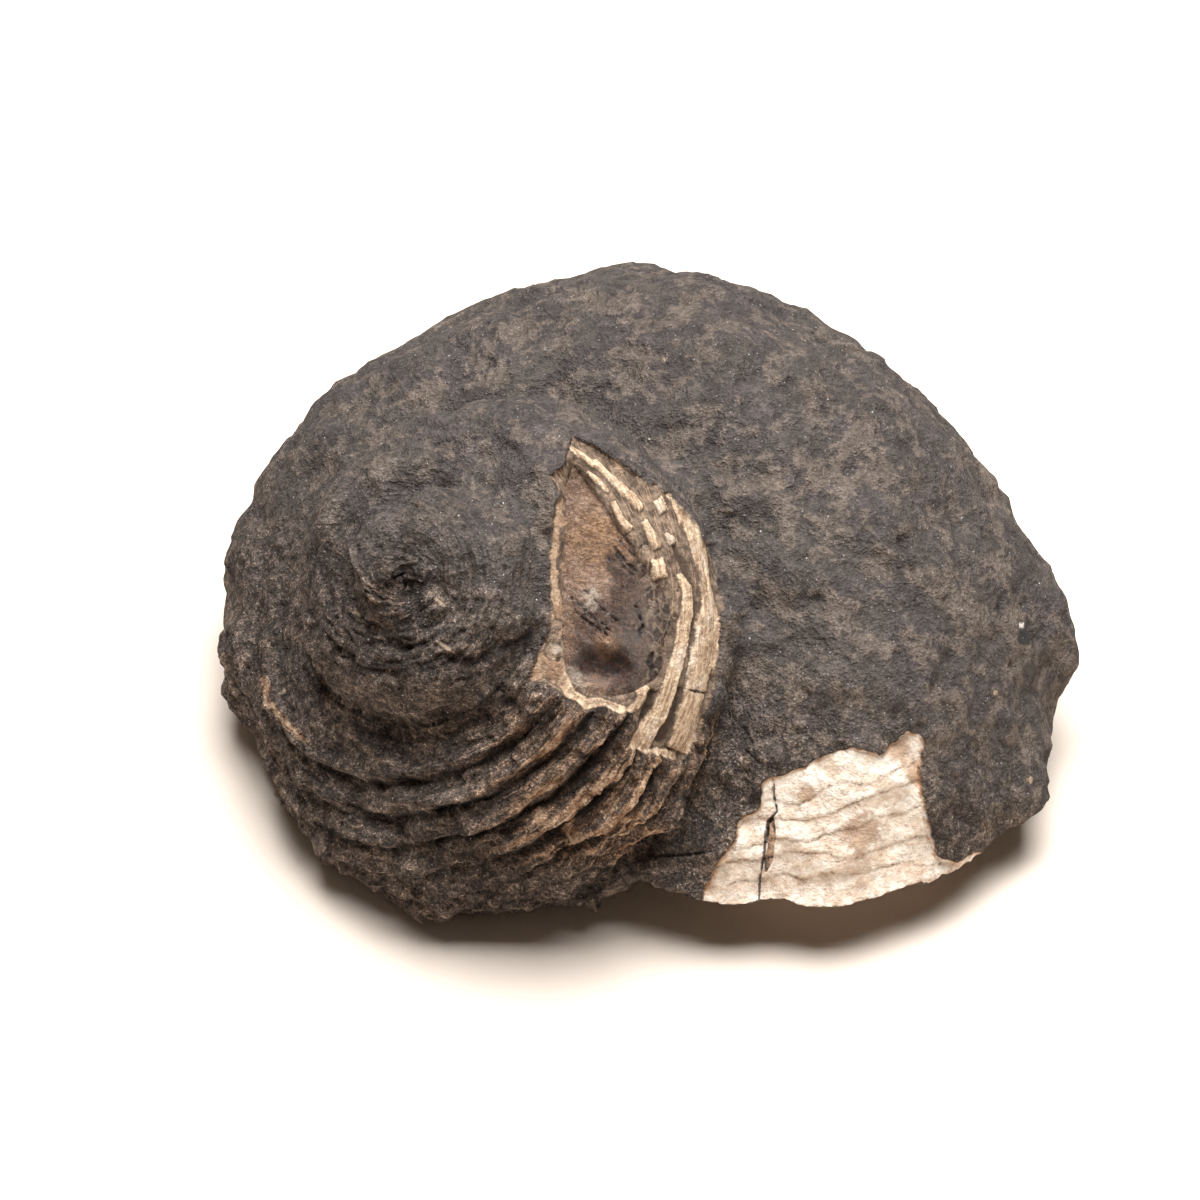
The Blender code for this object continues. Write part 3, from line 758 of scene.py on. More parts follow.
def worn_crests(places, turn, angle, bold, below):
    """Where the crust is rubbed off the cords, and how much a place is near the window."""
    right, up = places[:, 0], places[:, 1]
    fresh = ease((right - FRESH_CORDS) / FRESH_RISE) * ease((FRESH_TOP - up) / FRESH_FADE)
    fresh *= ease((up - FRESH_FOOT) / FRESH_FADE)
    fresh *= 1.0 - ease(right - FRESH_CORNER[0]) * ease(FRESH_CORNER[1] - up)
    crest = np.exp(-((below + CREST_SHIFT) / CREST_WIDTH) ** 2)
    flank = FLANK_SHARE * np.exp(-((below + FLANK_SHIFT) / FLANK_WIDTH) ** 2)
    patchy = flowing(turn, angle, WORN_PATCHES)
    worn = ease((crest + flank + 0.95 * patchy - WORN_NEED) / WORN_EDGE)
    worn = np.maximum(worn, ease(1.6 * spots(places, BARE_SPOTS) + 0.8 * patchy - 0.5))
    end = ease(depth_in_ribbons(places, WORN_END) / 0.18 + 0.2 + 0.9 * patchy)
    return np.maximum(worn * fresh * bold, end), fresh * bold


def patch_layers(places, wavy):
    """How many layers of the chalky patch end above a place, and how near their edges are."""
    steps = np.zeros(len(places))
    edge_near, below_edge = np.full((2, len(places)), FAR)
    for line in LAYER_STEPS:
        course = np.array(line)
        under_line = np.interp(places[:, 0], course[:, 0], course[:, 1]) - places[:, 1] + wavy
        steps += ease(under_line / LAYER_STEP_WIDTH + 0.5)
        edge_near = np.minimum(edge_near, np.abs(under_line - 0.03))
        below_edge = np.minimum(below_edge, np.where(under_line < 0.0, FAR, under_line))
    return steps, edge_near, below_edge


def outlined_marks(places, points, turn, angle, jag, seen):
    """Depths inside the marks that have an outline, positive inside, with ragged edges."""
    splinters = flowing(turn, angle, SPLINTERS)

    def ribbons(group, ragged=0.0):
        return np.where(seen, depth_in_ribbons(places, group) + ragged, -FAR)

    white = depth_inside(places, WHITE_PATCH) + 1.3 * jag
    layers = depth_in_ribbons(places, CREAM_LAYERS) + 0.9 * splinters + 0.15 * jag - 0.02
    edges = depth_in_ribbons(places, CREAM_EDGES) + 0.6 * jag - 0.05
    spur = depth_inside(places, CREAM_SPUR) + 0.8 * jag
    return {
        "white": np.where(places[:, 2] > LOWEST_WHITE, white, -FAR),
        "bared": np.where(seen, depth_inside(places, BARED) + jag, -FAR),
        "window": np.where(seen, depth_inside(places, WINDOW) + 0.5 * jag, -FAR),
        "cream": np.where(seen, np.maximum(np.maximum(layers, edges), spur), -FAR),
        "groove": ribbons(DARK_GROOVES, 0.5 * splinters),
        "crack": ribbons(CRACKS, 0.45 * jag),
        "scar": ribbons(SCAR, 0.6 * jag),
        "furrow": ribbons(FURROWS, ringing(places, FURROW_RAGS) + jag),
        "thread": ribbons(THREADS),
        "knob": ribbons(SWIRL),
    }


def mark_relief(marks, steps, rough, points, turn, angle, outward):
    """How far the crust's grain and the marks move the surface out or in."""
    on_white = ease(marks["white"] / LEDGE_WIDTH + 0.5)
    on_bared = ease(marks["bared"] / LEDGE_WIDTH + 0.5)
    on_cream = ease(marks["cream"] / CREAM_WIDTH + 0.5)
    on_groove = ease(marks["groove"] / LEDGE_WIDTH + 0.5)
    on_crust = (1.0 - on_white) * (1.0 - on_bared)
    moved = rough * on_crust
    moved -= on_crust * FURROW_DEPTH * ease(marks["furrow"] / FURROW_WIDTH + 0.6)
    moved += THREAD_HEIGHT * ease(marks["thread"] / THREAD_WIDTH + 0.5)
    chipped = CRUST_DEPTH + LAYER_STEP * (steps - len(LAYER_STEPS) / 2.0) - grains(points, BRUISES)
    chipped += SCAR_DEPTH * ease(marks["scar"] / SCAR_WIDTH + 0.5)
    lip = np.exp(-(marks["below_edge"] / LAYER_LIP_WIDTH) ** 2)
    chipped += LAYER_LIP * lip * ease(0.4 + 1.6 * grain(points, 1.2))
    moved -= on_white * chipped * ease((outward + 0.45) / 0.35)
    sunk = BARED_DEPTH - (BARED_DEPTH - CREAM_DEPTH) * on_cream
    sunk += (GROOVE_DEPTH - BARED_DEPTH) * on_groove * (1.0 - on_cream)
    sunk -= grains(points, BARED_GRAIN)
    sunk += SPLINTER_GAP * ease(-grain(flow(turn, angle, 2.6, 0.18)) / 0.3 - 0.6)
    inside = np.maximum(ease(marks["bared"] / BARED_WIDTH), on_cream)
    moved -= on_bared * sunk * (0.4 + 0.6 * inside)
    moved -= POCKET_DEPTH * ease(marks["window"] / POCKET_WIDTH)
    cracked = CRACK_DEPTH * ease(marks["crack"] / CRACK_WIDTH + 0.5) * (0.5 + 0.5 * on_white)
    moved -= cracked + PIT_DEPTH * marks["pit"]
    return moved * (1.0 - LIP_CALM * lip_nearness(points, turn, LIP_RIM))


def weathered_marks(points, outward):
    """Every mark on the shell's surface, and how far each point is moved by them all."""
    places = to_face(points)
    height, turn, angle, next_height = coil(points)
    _, bold, below = cords(turn, angle)
    seen = (places[:, 2] > LOWEST_MARK) & (outward > SEEN_FACING)
    jag = grains(points, JAGS)
    marks = outlined_marks(places, points, turn, angle, jag, seen)
    wavy = grains(points, LAYER_WAVES) + 0.7 * jag
    steps, marks["edge"], marks["below_edge"] = patch_layers(places, wavy)
    for name, group in (("swirl", (SWIRL_BROWN,)), ("crumbs", CRUMBS), ("flecks", PALE_FLECKS),
                        ("glassy", (GLASSY_FLECK,)), ("glint", (GLASSY_GLINT,)),
                        ("hollow", (APEX_HOLLOW,)), ("pit", (DARK_PIT,))):
        marks[name] = spots(places, group) * seen
    marks["stained"] = spots(places, STAINS)
    clear = spot(places, *CLEAR_GRAIN) * 1.6 - 0.4 + 0.5 * grain(points, 0.2)
    marks["clear"] = ease(clear) * seen
    worn, fresh = worn_crests(places, turn, angle, bold, below)
    marks["worn"], fresh = seen * worn, seen * fresh
    # Painted shade: the crust is darkened in the hollow below each bold cord, more widely by the
    # rubbed cords.
    shade = np.exp(-((below - SHADE_PLACE) / SHADE_WIDTH) ** 2)
    shade += fresh * np.exp(-((below - DEEP_SHADE_PLACE) / DEEP_SHADE_WIDTH) ** 2)
    marks["shade"] = shade * (bold * (0.7 + 0.5 * grain(flow(turn, angle, 1.8, 0.6))))
    # Painted shade along the sutures, fading out above the face's middle.
    valley = np.exp(-np.maximum(next_height - height, 0.0) / 0.25)
    marks["valley"] = valley * ease((3.0 - places[:, 1]) / 3.0)
    near_middle = np.abs(places[:, 0] - RIM_MIDDLE) < RIM_REACH
    marks["rim"] = lip_nearness(points, turn, RIM_WIDTH) * near_middle
    away = np.hypot(*(places[:, :2] - SPIRE_SHIFT).T)
    marks["spire"] = ease((SPIRE_MARK_REACH - away) / SPIRE_MARK_FADE) * seen
    rough = crust_grain(places, points, turn, angle, bold)
    marks.update(fresh=fresh, bold=bold, turn=turn, angle=angle, relief=rough / RELIEF_UNIT,
                 right=places[:, 0], up=places[:, 1])
    moved = mark_relief(marks, steps, rough, points, turn, angle, outward)
    marks["white"] = np.where(outward > WHITE_FACING, marks["white"], -FAR)
    return marks, moved


def detailed(middles):
    """Faces by the bared layers, the patch, the cracks, the fresh cords and the spire."""
    turn = coil(from_face(middles))[1]
    right, up = middles[:, 0], middles[:, 1]
    chosen = depth_inside(middles, BARED) > -DETAIL_MARGIN
    chosen |= depth_inside(middles, WHITE_PATCH) > -DETAIL_MARGIN
    chosen &= depth_inside(middles, WINDOW) < BED_MARGIN
    chosen |= depth_in_ribbons(middles, CRACKS) > -DETAIL_MARGIN
    _, full, fall, _ = BOLD_CORDS
    fresh = (turn > full) & (turn < fall + CORD_MARGIN) & (up < DETAILED_CORDS_TOP)
    chosen |= fresh & (right > FRESH_CORDS)
    away = np.hypot(*(middles[:, :2] - SPIRE_SHIFT).T)
    return chosen | (away < DETAILED_SPIRE) & (up < DETAILED_SPIRE_TOP)


def weathered_shell():
    """The whole shell, finest on the side that the spire looks out of."""
    mesh = even_ball()
    outward, _ = facing(mesh)
    split_faces(mesh, outward > FINE_FACING)
    outward, middles = facing(mesh)
    in_reach = (middles[:, 2] > LOWEST_MARK) & (outward > FINER_FACING)
    split_faces(mesh, detailed(middles) & in_reach)
    outward, middles = facing(mesh)
    in_reach = (middles[:, 2] > LOWEST_MARK) & (outward > FINER_FACING)
    away = np.hypot(*(middles[:, :2] - KNOB).T)
    split_faces(mesh, (away < KNOB_RADIUS) & in_reach)
    points, _ = settle(mesh_values(mesh.vertices, "co", 3), FIRST_SETTLING)
    points, normals = settle(relax(mesh, relax(mesh, points)), LAST_SETTLING)
    marks, moved = weathered_marks(points, normals @ FACE[2])
    points = np.clip(points + normals * moved[:, None], LOW, HIGH)
    rim = lip_nearness(points, coil(points)[1] + LIP_WORN_LENGTH, LIP_WORN)[:, None]
    for _ in range(LIP_PASSES):
        points += (relax(mesh, points) - points) * rim
    put_points(mesh, points * MM)
    form = bmesh.new()
    form.from_mesh(mesh)
    bmesh.ops.triangulate(form, faces=form.faces)
    form.to_mesh(mesh)
    form.free()
    put_marks(mesh, marks)
    return mesh


# ---------------------------------------------------------------- calcite

CALCITE_STEP = 0.065
CALCITE_OVERLAP = 0.30
CALCITE_BASE = 2.0
CALCITE_FACETS = (
    ((6.7, 1.8), 0.22, (0.05, -0.02)),
    ((6.6, -0.2), 0.24, (0.04, -0.05)),
    ((6.5, -3.2), 0.42, (-0.03, 0.06)),
    ((8.9, -1.0), 0.30, (-0.05, 0.02)),
    ((7.2, 3.0), 0.28, (0.00, 0.08)),
)
POCKET, POCKET_RADII, POCKET_DEEPER = (7.50, -4.15), (1.30, 0.95), 0.60
FLAKED = ((7.4, 1.9), (8.1, 0.9), (8.65, 0.1), (8.9, -1.2), (9.1, -2.6), (9.3, -3.9), (8.9, -4.8),
          (9.9, -5.2), (10.8, -3.6), (10.6, -1.6), (9.9, -0.2), (9.2, 1.0), (8.0, 2.2))
CALCITE_CURVES = ((0.025, 0.35), (0.012, 0.15))
LEAF_NOISE, LEAF_HEIGHT, LEAF_FLAT = ((3.2, 0.75), (0.8, 0.3)), 0.10, 0.72
CLEAVED_RIGHT, CLEAVED_UP, CLEAVED_STEPS, CLEAVED_FLAT = 0.58, 0.81, 1.4, 0.80
CLEAVED_HEIGHT = 0.10
FRACTURE_DEPTH, FRACTURE_WIDTH = 0.14, 0.06

# Coloured parts of the calcite, with its painted sheen and the painted glow of light from its
# pocket: middle and radius, how strong and how wide each is, and the (height, size) of the grain
# that makes its edge ragged.
CALCITE_PARTS = {
    "amber": (((7.15, 0.35), 1.20), 1.5, -0.25, (0.5, 0.6)),
    "lilac": (((6.80, -1.20), 1.10), 1.4, -0.20, (0.4, 0.6)),
    "glow": (((7.60, -3.35), 0.50), 1.7, -0.25, (0.5, 0.3)),
    "clear": (((6.25, -4.70), 0.55), 1.9, -0.3, (0.4, 0.3)),
    "sheen": (((7.05, -1.60), 0.45), 1.7, -0.5, (1.1, 0.22)),
    "rosy": (((7.10, -5.10), 0.70), 1.5, -0.1, (0.5, 0.4)),
}
# Fine fractures of the calcite, as ribbons through (right, up, half width).
FRACTURES = (
    ((6.25, -1.55, 0.01), (7.00, -2.25, 0.04), (7.75, -2.80, 0.02)),
    ((6.30, -2.00, 0.01), (7.10, -2.62, 0.03), (7.60, -2.95, 0.01)),
    ((6.75, -1.25, 0.01), (7.40, -1.95, 0.03), (8.00, -2.45, 0.01)),
    ((7.85, 0.35, 0.02), (8.30, -0.25, 0.04), (8.75, -0.60, 0.01)),
    ((8.00, 0.62, 0.01), (8.60, 0.05, 0.03), (8.90, -0.25, 0.01)),
    ((7.95, 0.05, 0.01), (8.20, -0.40, 0.03), (8.55, -0.75, 0.01)),
    ((9.30, -3.60, 0.03), (9.20, -4.00, 0.12), (9.32, -4.35, 0.05)),
    ((8.60, -1.70, 0.01), (8.95, -2.60, 0.04), (8.75, -3.10, 0.01)),
)


def pocket_share(places):
    """1 in the middle of the calcite's dark pocket, 0 at its edge."""
    return 1.0 - np.linalg.norm((places[:, :2] - POCKET) / POCKET_RADII, axis=1)


def stepped(value, flat):
    """A value that stays level for a share of each step of 1, then rises to the next."""
    level = np.floor(value)
    return level + ease((value - level - flat) / (1.0 - flat))


def calcite_top(places, points):
    """Depth of the calcite's broken top under the smooth shell."""
    depth = np.full(len(places), -np.inf)
    for middle, at_middle, slope in CALCITE_FACETS:
        depth = np.maximum(depth, at_middle + (places[:, :2] - middle) @ slope)
    depth += POCKET_DEEPER * ease(1.5 * (pocket_share(places) + 0.08 * grain(points, 0.5)))
    flaked = ease(depth_inside(places, FLAKED) / 0.35 + 0.5)
    leaves = stepped(grains(points, LEAF_NOISE), LEAF_FLAT)
    depth += flaked * (0.06 + LEAF_HEIGHT * leaves + 0.06 * grain(points, 0.2))
    across = places[:, 0] * CLEAVED_RIGHT + places[:, 1] * CLEAVED_UP
    across = CLEAVED_STEPS * across + 0.7 * grain(points, 1.4)
    cleaved = stepped(across, CLEAVED_FLAT) - across
    depth += (1.0 - flaked) * (CLEAVED_HEIGHT * cleaved + 0.05 * grain(points, 0.9))
    depth += grains(points, CALCITE_CURVES)
    fracture = depth_in_ribbons(places, FRACTURES) + 0.09 * grain(points, 0.22)
    depth += FRACTURE_DEPTH * ease(fracture / FRACTURE_WIDTH + 0.5)
    return depth, flaked, fracture


def calcite_marks(points):
    """How much each place of the calcite has of each of its colours."""
    places = to_face(points)
    right, up = places[:, 0], places[:, 1]
    wavy = 0.35 * grain(points, 0.7) + 0.20 * grain(points, 0.3)
    below = ease((-1.40 - up + wavy) / 0.55)
    beside = ease((right - 7.50 + wavy) / 0.45) * ease((0.25 - up + wavy) / 0.6)
    marks = {
        "smoky": np.maximum(below, beside) * ease((right - 6.10 + 0.5 * wavy) / 0.45),
        "mauve": ease((up - 1.3) / 0.8),
        "pocket": ease(3.2 * pocket_share(places) + 0.1 + 0.9 * grain(points, 0.4)),
    }
    for name, (place, strong, wide, (height, size)) in CALCITE_PARTS.items():
        marks[name] = ease(strong * spot(places, *place) + wide + height * grain(points, size))
    return marks


def window_calcite():
    """The calcite in the window: a closed lump whose top is broken into facets."""
    outline = np.array(WINDOW)
    low, high = outline.min(0) - CALCITE_OVERLAP, outline.max(0) + CALCITE_OVERLAP
    counts = np.ceil((high - low) / CALCITE_STEP).astype(int)
    form = bmesh.new()
    bmesh.ops.create_grid(form, x_segments=int(counts[0]), y_segments=int(counts[1]), size=1.0)
    flat = np.array([vert.co[:2] for vert in form.verts])
    flat = low + (flat + 1.0) / 2.0 * (high - low)
    inside = depth_inside(flat, WINDOW) > -CALCITE_OVERLAP
    above = from_face(np.c_[flat, np.zeros(len(flat))])
    outwards = np.broadcast_to(FACE[2], above.shape)
    tops = outermost(above - FACE[2] * REACH / 2.0, outwards)
    places = to_face(tops)
    depth, flaked, fracture = calcite_top(places, tops)
    places[:, 2] -= depth
    for vert, place in zip(form.verts, from_face(places)):
        vert.co = place
    layers = {name: form.verts.layers.float.new(name) for name in ("flaked", "fracture")}
    for vert, here, near in zip(form.verts, flaked, fracture):
        vert[layers["flaked"]] = here
        vert[layers["fracture"]] = near
    gone = [vert for vert, kept in zip(form.verts, inside) if not kept]
    bmesh.ops.delete(form, geom=gone, context="VERTS")
    skirt = bmesh.ops.extrude_face_region(form, geom=list(form.faces), use_keep_orig=True)
    base = [item for item in skirt["geom"] if isinstance(item, bmesh.types.BMVert)]
    floor = np.median(places[inside, 2]) - CALCITE_BASE
    for vert in base:
        place = to_face(np.array(vert.co))
        place[2] = floor
        vert.co = from_face(place)
    bmesh.ops.recalc_face_normals(form, faces=form.faces)
    bmesh.ops.triangulate(form, faces=form.faces)
    mesh = bpy.data.meshes.new("window_calcite")
    form.to_mesh(mesh)
    form.free()
    points = mesh_values(mesh.vertices, "co", 3)
    put_marks(mesh, calcite_marks(points))
    put_points(mesh, points * MM)
    return mesh


# ---------------------------------------------------------------- finishes

CRUST_ROUGHNESS, CRUST_SPECULAR, CRUST_BUMP = 0.92, 0.30, 0.55
CALCITE_ROUGHNESS, CALCITE_SPECULAR, CALCITE_BUMP = 0.16, 0.22, 0.25
CALCITE_IOR, CALCITE_CLEARNESS = 1.56, 0.30
FLOOR_ROUGHNESS = 0.9


def linear(red, green, blue):
    """A colour as bpy holds it, from its 0 to 255 values."""
    shares = [value / 255.0 for value in (red, green, blue)]
    return tuple(s / 12.92 if s <= 0.04045 else ((s + 0.055) / 1.055) ** 2.4 for s in shares)


class Value:
    """A number that varies over a surface, which Python expressions can work with."""

    def __init__(self, finish, output):
        self.finish = finish
        self.output = output

    def __add__(self, other):
        return self.finish.maths("ADD", self, other)

    def __sub__(self, other):
        return self.finish.maths("SUBTRACT", self, other)

    def __rsub__(self, other):
        return self.finish.maths("SUBTRACT", other, self)

    def __mul__(self, other):
        return self.finish.maths("MULTIPLY", self, other)

    def __truediv__(self, other):
        return self.finish.maths("DIVIDE", self, other)

    __radd__ = __add__
    __rmul__ = __mul__


class Finish:
    """A material whose nodes are made by the methods below."""

    def __init__(self, name):
        self.material = bpy.data.materials.new(name)
        self.material.use_nodes = True
        self.tree = self.material.node_tree
        self.tree.nodes.clear()
        centre = self.add("ShaderNodeTexCoord").outputs["Object"]
        self.place = self.scaled(centre, 1.0 / MM)

    def add(self, kind, settings=None, sockets=None):
        """One node: its settings are set first, then its sockets are set or linked."""
        node = self.tree.nodes.new(kind)
        for name, value in (settings or {}).items():
            setattr(node, name, value)
        for name, value in (sockets or {}).items():
            value = value.output if isinstance(value, Value) else value
            if isinstance(value, bpy.types.NodeSocket):
                self.tree.links.new(value, node.inputs[name])
            else:
                node.inputs[name].default_value = value
        return node

    def maths(self, operation, *values):
        """A Math node on values and numbers."""
        node = self.add("ShaderNodeMath", {"operation": operation}, dict(enumerate(values)))
        return Value(self, node.outputs[0])

    def mark(self, name):
        """A value stored on the mesh."""
        node = self.add("ShaderNodeAttribute", {"attribute_name": name})
        return Value(self, node.outputs["Fac"])

    def along_whorl(self, length, width):
        """Places that make noise longer along the whorl than across it."""
        return self.add("ShaderNodeCombineXYZ", {}, {
            0: self.mark("turn") * (WHORL_LENGTH / length),
            1: self.mark("angle") * (DEGREE_WIDTH / width)}).outputs[0]

    def round_spire(self, length, width):
        """Places that make noise run in rings about the spire's top."""
        offset = self.add("ShaderNodeCombineXYZ", {}, {
            0: self.mark("right") - SPIRE_SHIFT[0], 1: self.mark("up") - SPIRE_SHIFT[1]}).outputs[0]
        away = self.add("ShaderNodeVectorMath", {"operation": "LENGTH"}, {0: offset})
        around = self.add("ShaderNodeVectorMath", {"operation": "NORMALIZE"}, {0: offset}).outputs[0]
        around = self.scaled(around, RING_RADIUS / length)
        out = self.add("ShaderNodeCombineXYZ", {}, {2: Value(self, away.outputs["Value"]) / width})
        return self.add("ShaderNodeVectorMath", {"operation": "ADD"},
                        {0: around, 1: out.outputs[0]}).outputs[0]

    def scaled(self, vector, share):
        """A colour or place times a number."""
        return self.add("ShaderNodeVectorMath", {"operation": "SCALE"},
                        {0: vector, "Scale": share}).outputs[0]

    def lit(self, colour, power):
        """A colour made paler or darker by a power of two."""
        return self.scaled(colour, self.maths("POWER", 2.0, power))

    def noise(self, size, detail=2.0, roughness=0.5, stretch=None, shift=0.0, place=None):
        """Noise from 0 to 1, about one size across."""
        place = place or self.place
        if stretch:
            place = self.add("ShaderNodeVectorMath", {"operation": "MULTIPLY"},
                             {0: place, 1: stretch}).outputs[0]
        if shift:
            place = self.add("ShaderNodeVectorMath", {"operation": "ADD"},
                             {0: place, 1: (shift, shift, shift)}).outputs[0]
        node = self.add("ShaderNodeTexNoise", {}, {
            "Vector": place, "Scale": 1.0 / size, "Detail": detail, "Roughness": roughness})
        return Value(self, node.outputs["Fac"])

    def ramp(self, value, low, high):
        """Value stretched so that low is 0 and high is 1, eased and held to that range."""
        node = self.add("ShaderNodeMapRange", {"interpolation_type": "SMOOTHSTEP"},
                        {"Value": value, "From Min": low, "From Max": high})
        return Value(self, node.outputs["Result"])

    def mix(self, share, one, two):
        """One colour turning into another by a share."""
        one = (*one, 1.0) if isinstance(one, tuple) else one
        two = (*two, 1.0) if isinstance(two, tuple) else two
        node = self.add("ShaderNodeMix", {"data_type": "RGBA"}, {0: share, 6: one, 7: two})
        return node.outputs[2]

    def coat(self, base, colour, value, low, high, share=None):
        """A base that another colour covers as a value goes from low to high."""
        cover = self.ramp(value, low, high)
        return self.mix(cover if share is None else cover * share, base, colour)

    def specks(self, size, radius, share):
        """Small dots, one in each of a share of the cells of a size."""
        node = self.add("ShaderNodeTexVoronoi", {}, {"Vector": self.place, "Scale": 1.0 / size})
        chance = self.add("ShaderNodeSeparateColor", {}, {0: node.outputs["Color"]}).outputs[0]
        near = self.ramp(Value(self, node.outputs["Distance"]), radius / size, 0.4 * radius / size)
        return near * self.maths("LESS_THAN", Value(self, chance), share)

    def cells(self, size, stretch, **settings):
        """Cells about one size across, as a node."""
        place = self.add("ShaderNodeVectorMath", {"operation": "MULTIPLY"},
                         {0: self.place, 1: stretch}).outputs[0]
        return self.add("ShaderNodeTexVoronoi", settings, {"Vector": place, "Scale": 1.0 / size})

    def cell_chance(self, size, stretch):
        """A chance value for each of the cells."""
        colour = self.cells(size, stretch).outputs["Color"]
        return Value(self, self.add("ShaderNodeSeparateColor", {}, {0: colour}).outputs[0])

    def cell_edges(self, size, stretch):
        """How far a place is from the nearest edge of those cells."""
        node = self.cells(size, stretch, feature="DISTANCE_TO_EDGE")
        return Value(self, node.outputs["Distance"])

    def surface(self, **sockets):
        """The Principled shader, with every socket that is given, as the material's surface."""
        shader = self.add("ShaderNodeBsdfPrincipled", {},
                          {name.replace("_", " "): value for name, value in sockets.items()})
        output = self.add("ShaderNodeOutputMaterial")
        self.tree.links.new(shader.outputs[0], output.inputs["Surface"])

    def bump(self, height, distance):
        """A normal that leans with a height from 0 to 1 over a distance."""
        return self.add("ShaderNodeBump", {}, {"Height": height,
                                               "Distance": distance * MM}).outputs[0]


class ShellFinish(Finish):
    """Crust, chalky patch, cream layers and the bed of the calcite, told apart by the marks."""

    def __init__(self, colours):
        super().__init__("weathered_crust")
        self.colours = colours
        self.up, self.right = self.mark("up"), self.mark("right")
        self.spire, self.bold = self.mark("spire"), self.mark("bold")
        self.blotch = self.noise(1.3, 4.0, 0.62, shift=7.0)
        self.fleck = self.noise(0.38, 3.0, 0.58)
        self.grit = self.noise(0.13, 2.0, 0.60)
        self.salt = self.noise(0.075, 2.0, 0.6)
        self.ringed = self.noise(1.0, 3.0, 0.6, place=self.round_spire(1.5, 0.15))
        self.streaked = self.noise(1.0, 4.0, 0.65, place=self.along_whorl(1.6, 0.20))

    def crust_tint(self, dust_and_painted_light):
        """Body colour of the crust, darker and browner towards the bottom left: less tan dust there,
        and painted shade.
        """
        colours, mark, ramp, mix = self.colours, self.mark, self.ramp, self.mix
        tint = mix(dust_and_painted_light, colours.dark_crust, colours.crust)
        violet = ramp(self.noise(2.0, 3.0, 0.5, shift=19.0), 0.46, 0.58)
        tint = mix(violet * (0.2 + dust_and_painted_light * 0.5), tint,
                   mix(dust_and_painted_light, colours.dark_violet, colours.violet))
        tan = self.noise(1.2, 3.0, 0.58, shift=31.0) * 0.75 + self.fleck * 0.25
        tan = ramp(tan, 0.50, 0.565) * (1.0 - self.spire * 0.6)
        tint = mix(tan * (0.30 + dust_and_painted_light * 0.24), tint,
                   mix(dust_and_painted_light, colours.dark_dust, colours.dust))
        browned = mark("fresh") * ramp(self.streaked, 0.40, 0.60) * 0.6
        tint = mix(browned, tint, colours.brown_crust)
        browned = mark("swirl") * ramp(self.streaked + self.ringed, 0.85, 1.15) * 0.45
        tint = mix(browned, tint, colours.brown_crust)
        return self.coat(tint, colours.dust, mark("crumbs") + self.fleck * 1.2, 0.95, 1.35, 0.7)

    def crust_power(self, dust_and_painted_light):
        """How much paler or darker than its tint the crust is, as a power of two, with painted shade
        in its creases and hollows.
        """
        mark, ramp, up, right = self.mark, self.ramp, self.up, self.right
        crisp = ramp(self.fleck, 0.45, 0.57)
        power = (self.blotch - 0.5) * 2.4 + (self.fleck - 0.5) * 1.6 + (crisp - 0.5) * 0.45
        power = power + (self.grit - 0.5) * 3.4 + (self.salt - 0.5) * 3.4
        power = power + ramp(self.salt, 0.60, 0.78)
        power = power * (1.38 - dust_and_painted_light * 0.80) + mark("relief") * 0.12 - 0.22
        power = power + (self.ringed - 0.5) * self.spire * 3.0
        power = power + (self.streaked - 0.5) * self.bold * 3.8
        power = power + ramp(mark("knob"), -0.04, 0.04) * 0.7 - self.spire * 0.10
        power = power - ramp(right, 1.0, -4.0) * ramp(up, -6.0, 0.0) * 0.22
        # Painted shade in the apex hollow.
        power = power - mark("hollow") * 0.7 - ramp(up, 2.0, 10.0) * 0.10
        # Painted shade along the sutures and in the furrows.
        power = power - mark("valley") * 1.1 - ramp(mark("furrow"), -0.15, 0.15) * 0.9
        # Painted shade below the cords' crests.
        return power - mark("shade") * 1.7 - ramp(right, 17.0, 20.0) * 0.15

    def crust(self):
        """The crust with its flecks, grains, dust and painted glints, and the cords where it is
        rubbed off.
        """
        colours, mark, ramp, mix = self.colours, self.mark, self.ramp, self.mix
        fleck, grit, streaked = self.fleck, self.grit, self.streaked
        cloud = self.noise(3.4, 3.0, 0.55)
        # Paler towards the top and right: more tan dust there, and painted light, with painted shade
        # towards the bottom left.
        dust_and_painted_light = ramp(self.up * 1.5 + self.right * 0.60 + cloud * 6.0, -3.0, 8.0)
        crust = self.lit(self.crust_tint(dust_and_painted_light), self.crust_power(dust_and_painted_light))
        for colour, value, low, high, share in (
            (colours.fleck, mark("flecks") + (grit - 0.5) * 0.8, 0.30, 0.70, 0.85),
            (colours.fleck, mark("thread"), -0.05, 0.02, 0.75),
            (colours.glassy, mark("glassy") + (fleck - 0.5) * 0.8, 0.35, 0.60, 0.9),
            # Painted glint on the glassy fleck.
            (colours.glint, mark("glint"), 0.30, 0.60, None),
        ):
            crust = self.coat(crust, colour, value, low, high, share)
        crust = mix(mark("rim") * ramp(fleck, 0.40, 0.58) * 0.8, crust, colours.dust)
        # White specks: pale grains with painted glints.
        crust = mix(self.specks(0.42, 0.05, 0.12) * 0.7, crust, colours.glint)
        crust = mix(self.specks(0.17, 0.035, 0.18) * 0.45, crust, colours.glint)
        rubbed = mix(ramp(streaked * 0.6 + fleck * 0.4, 0.44, 0.60), colours.worn_cord,
                     colours.worn_tan)
        rubbed = self.lit(rubbed, (grit - 0.5) * 2.8 + (self.salt - 0.5) * 2.0 - 0.20)
        rubbing = mark("worn") + (streaked - 0.5) * 2.0 + (grit - 0.5) * 1.2
        return mix(ramp(rubbing, 0.15, 0.90) * mark("worn"), crust, rubbed)

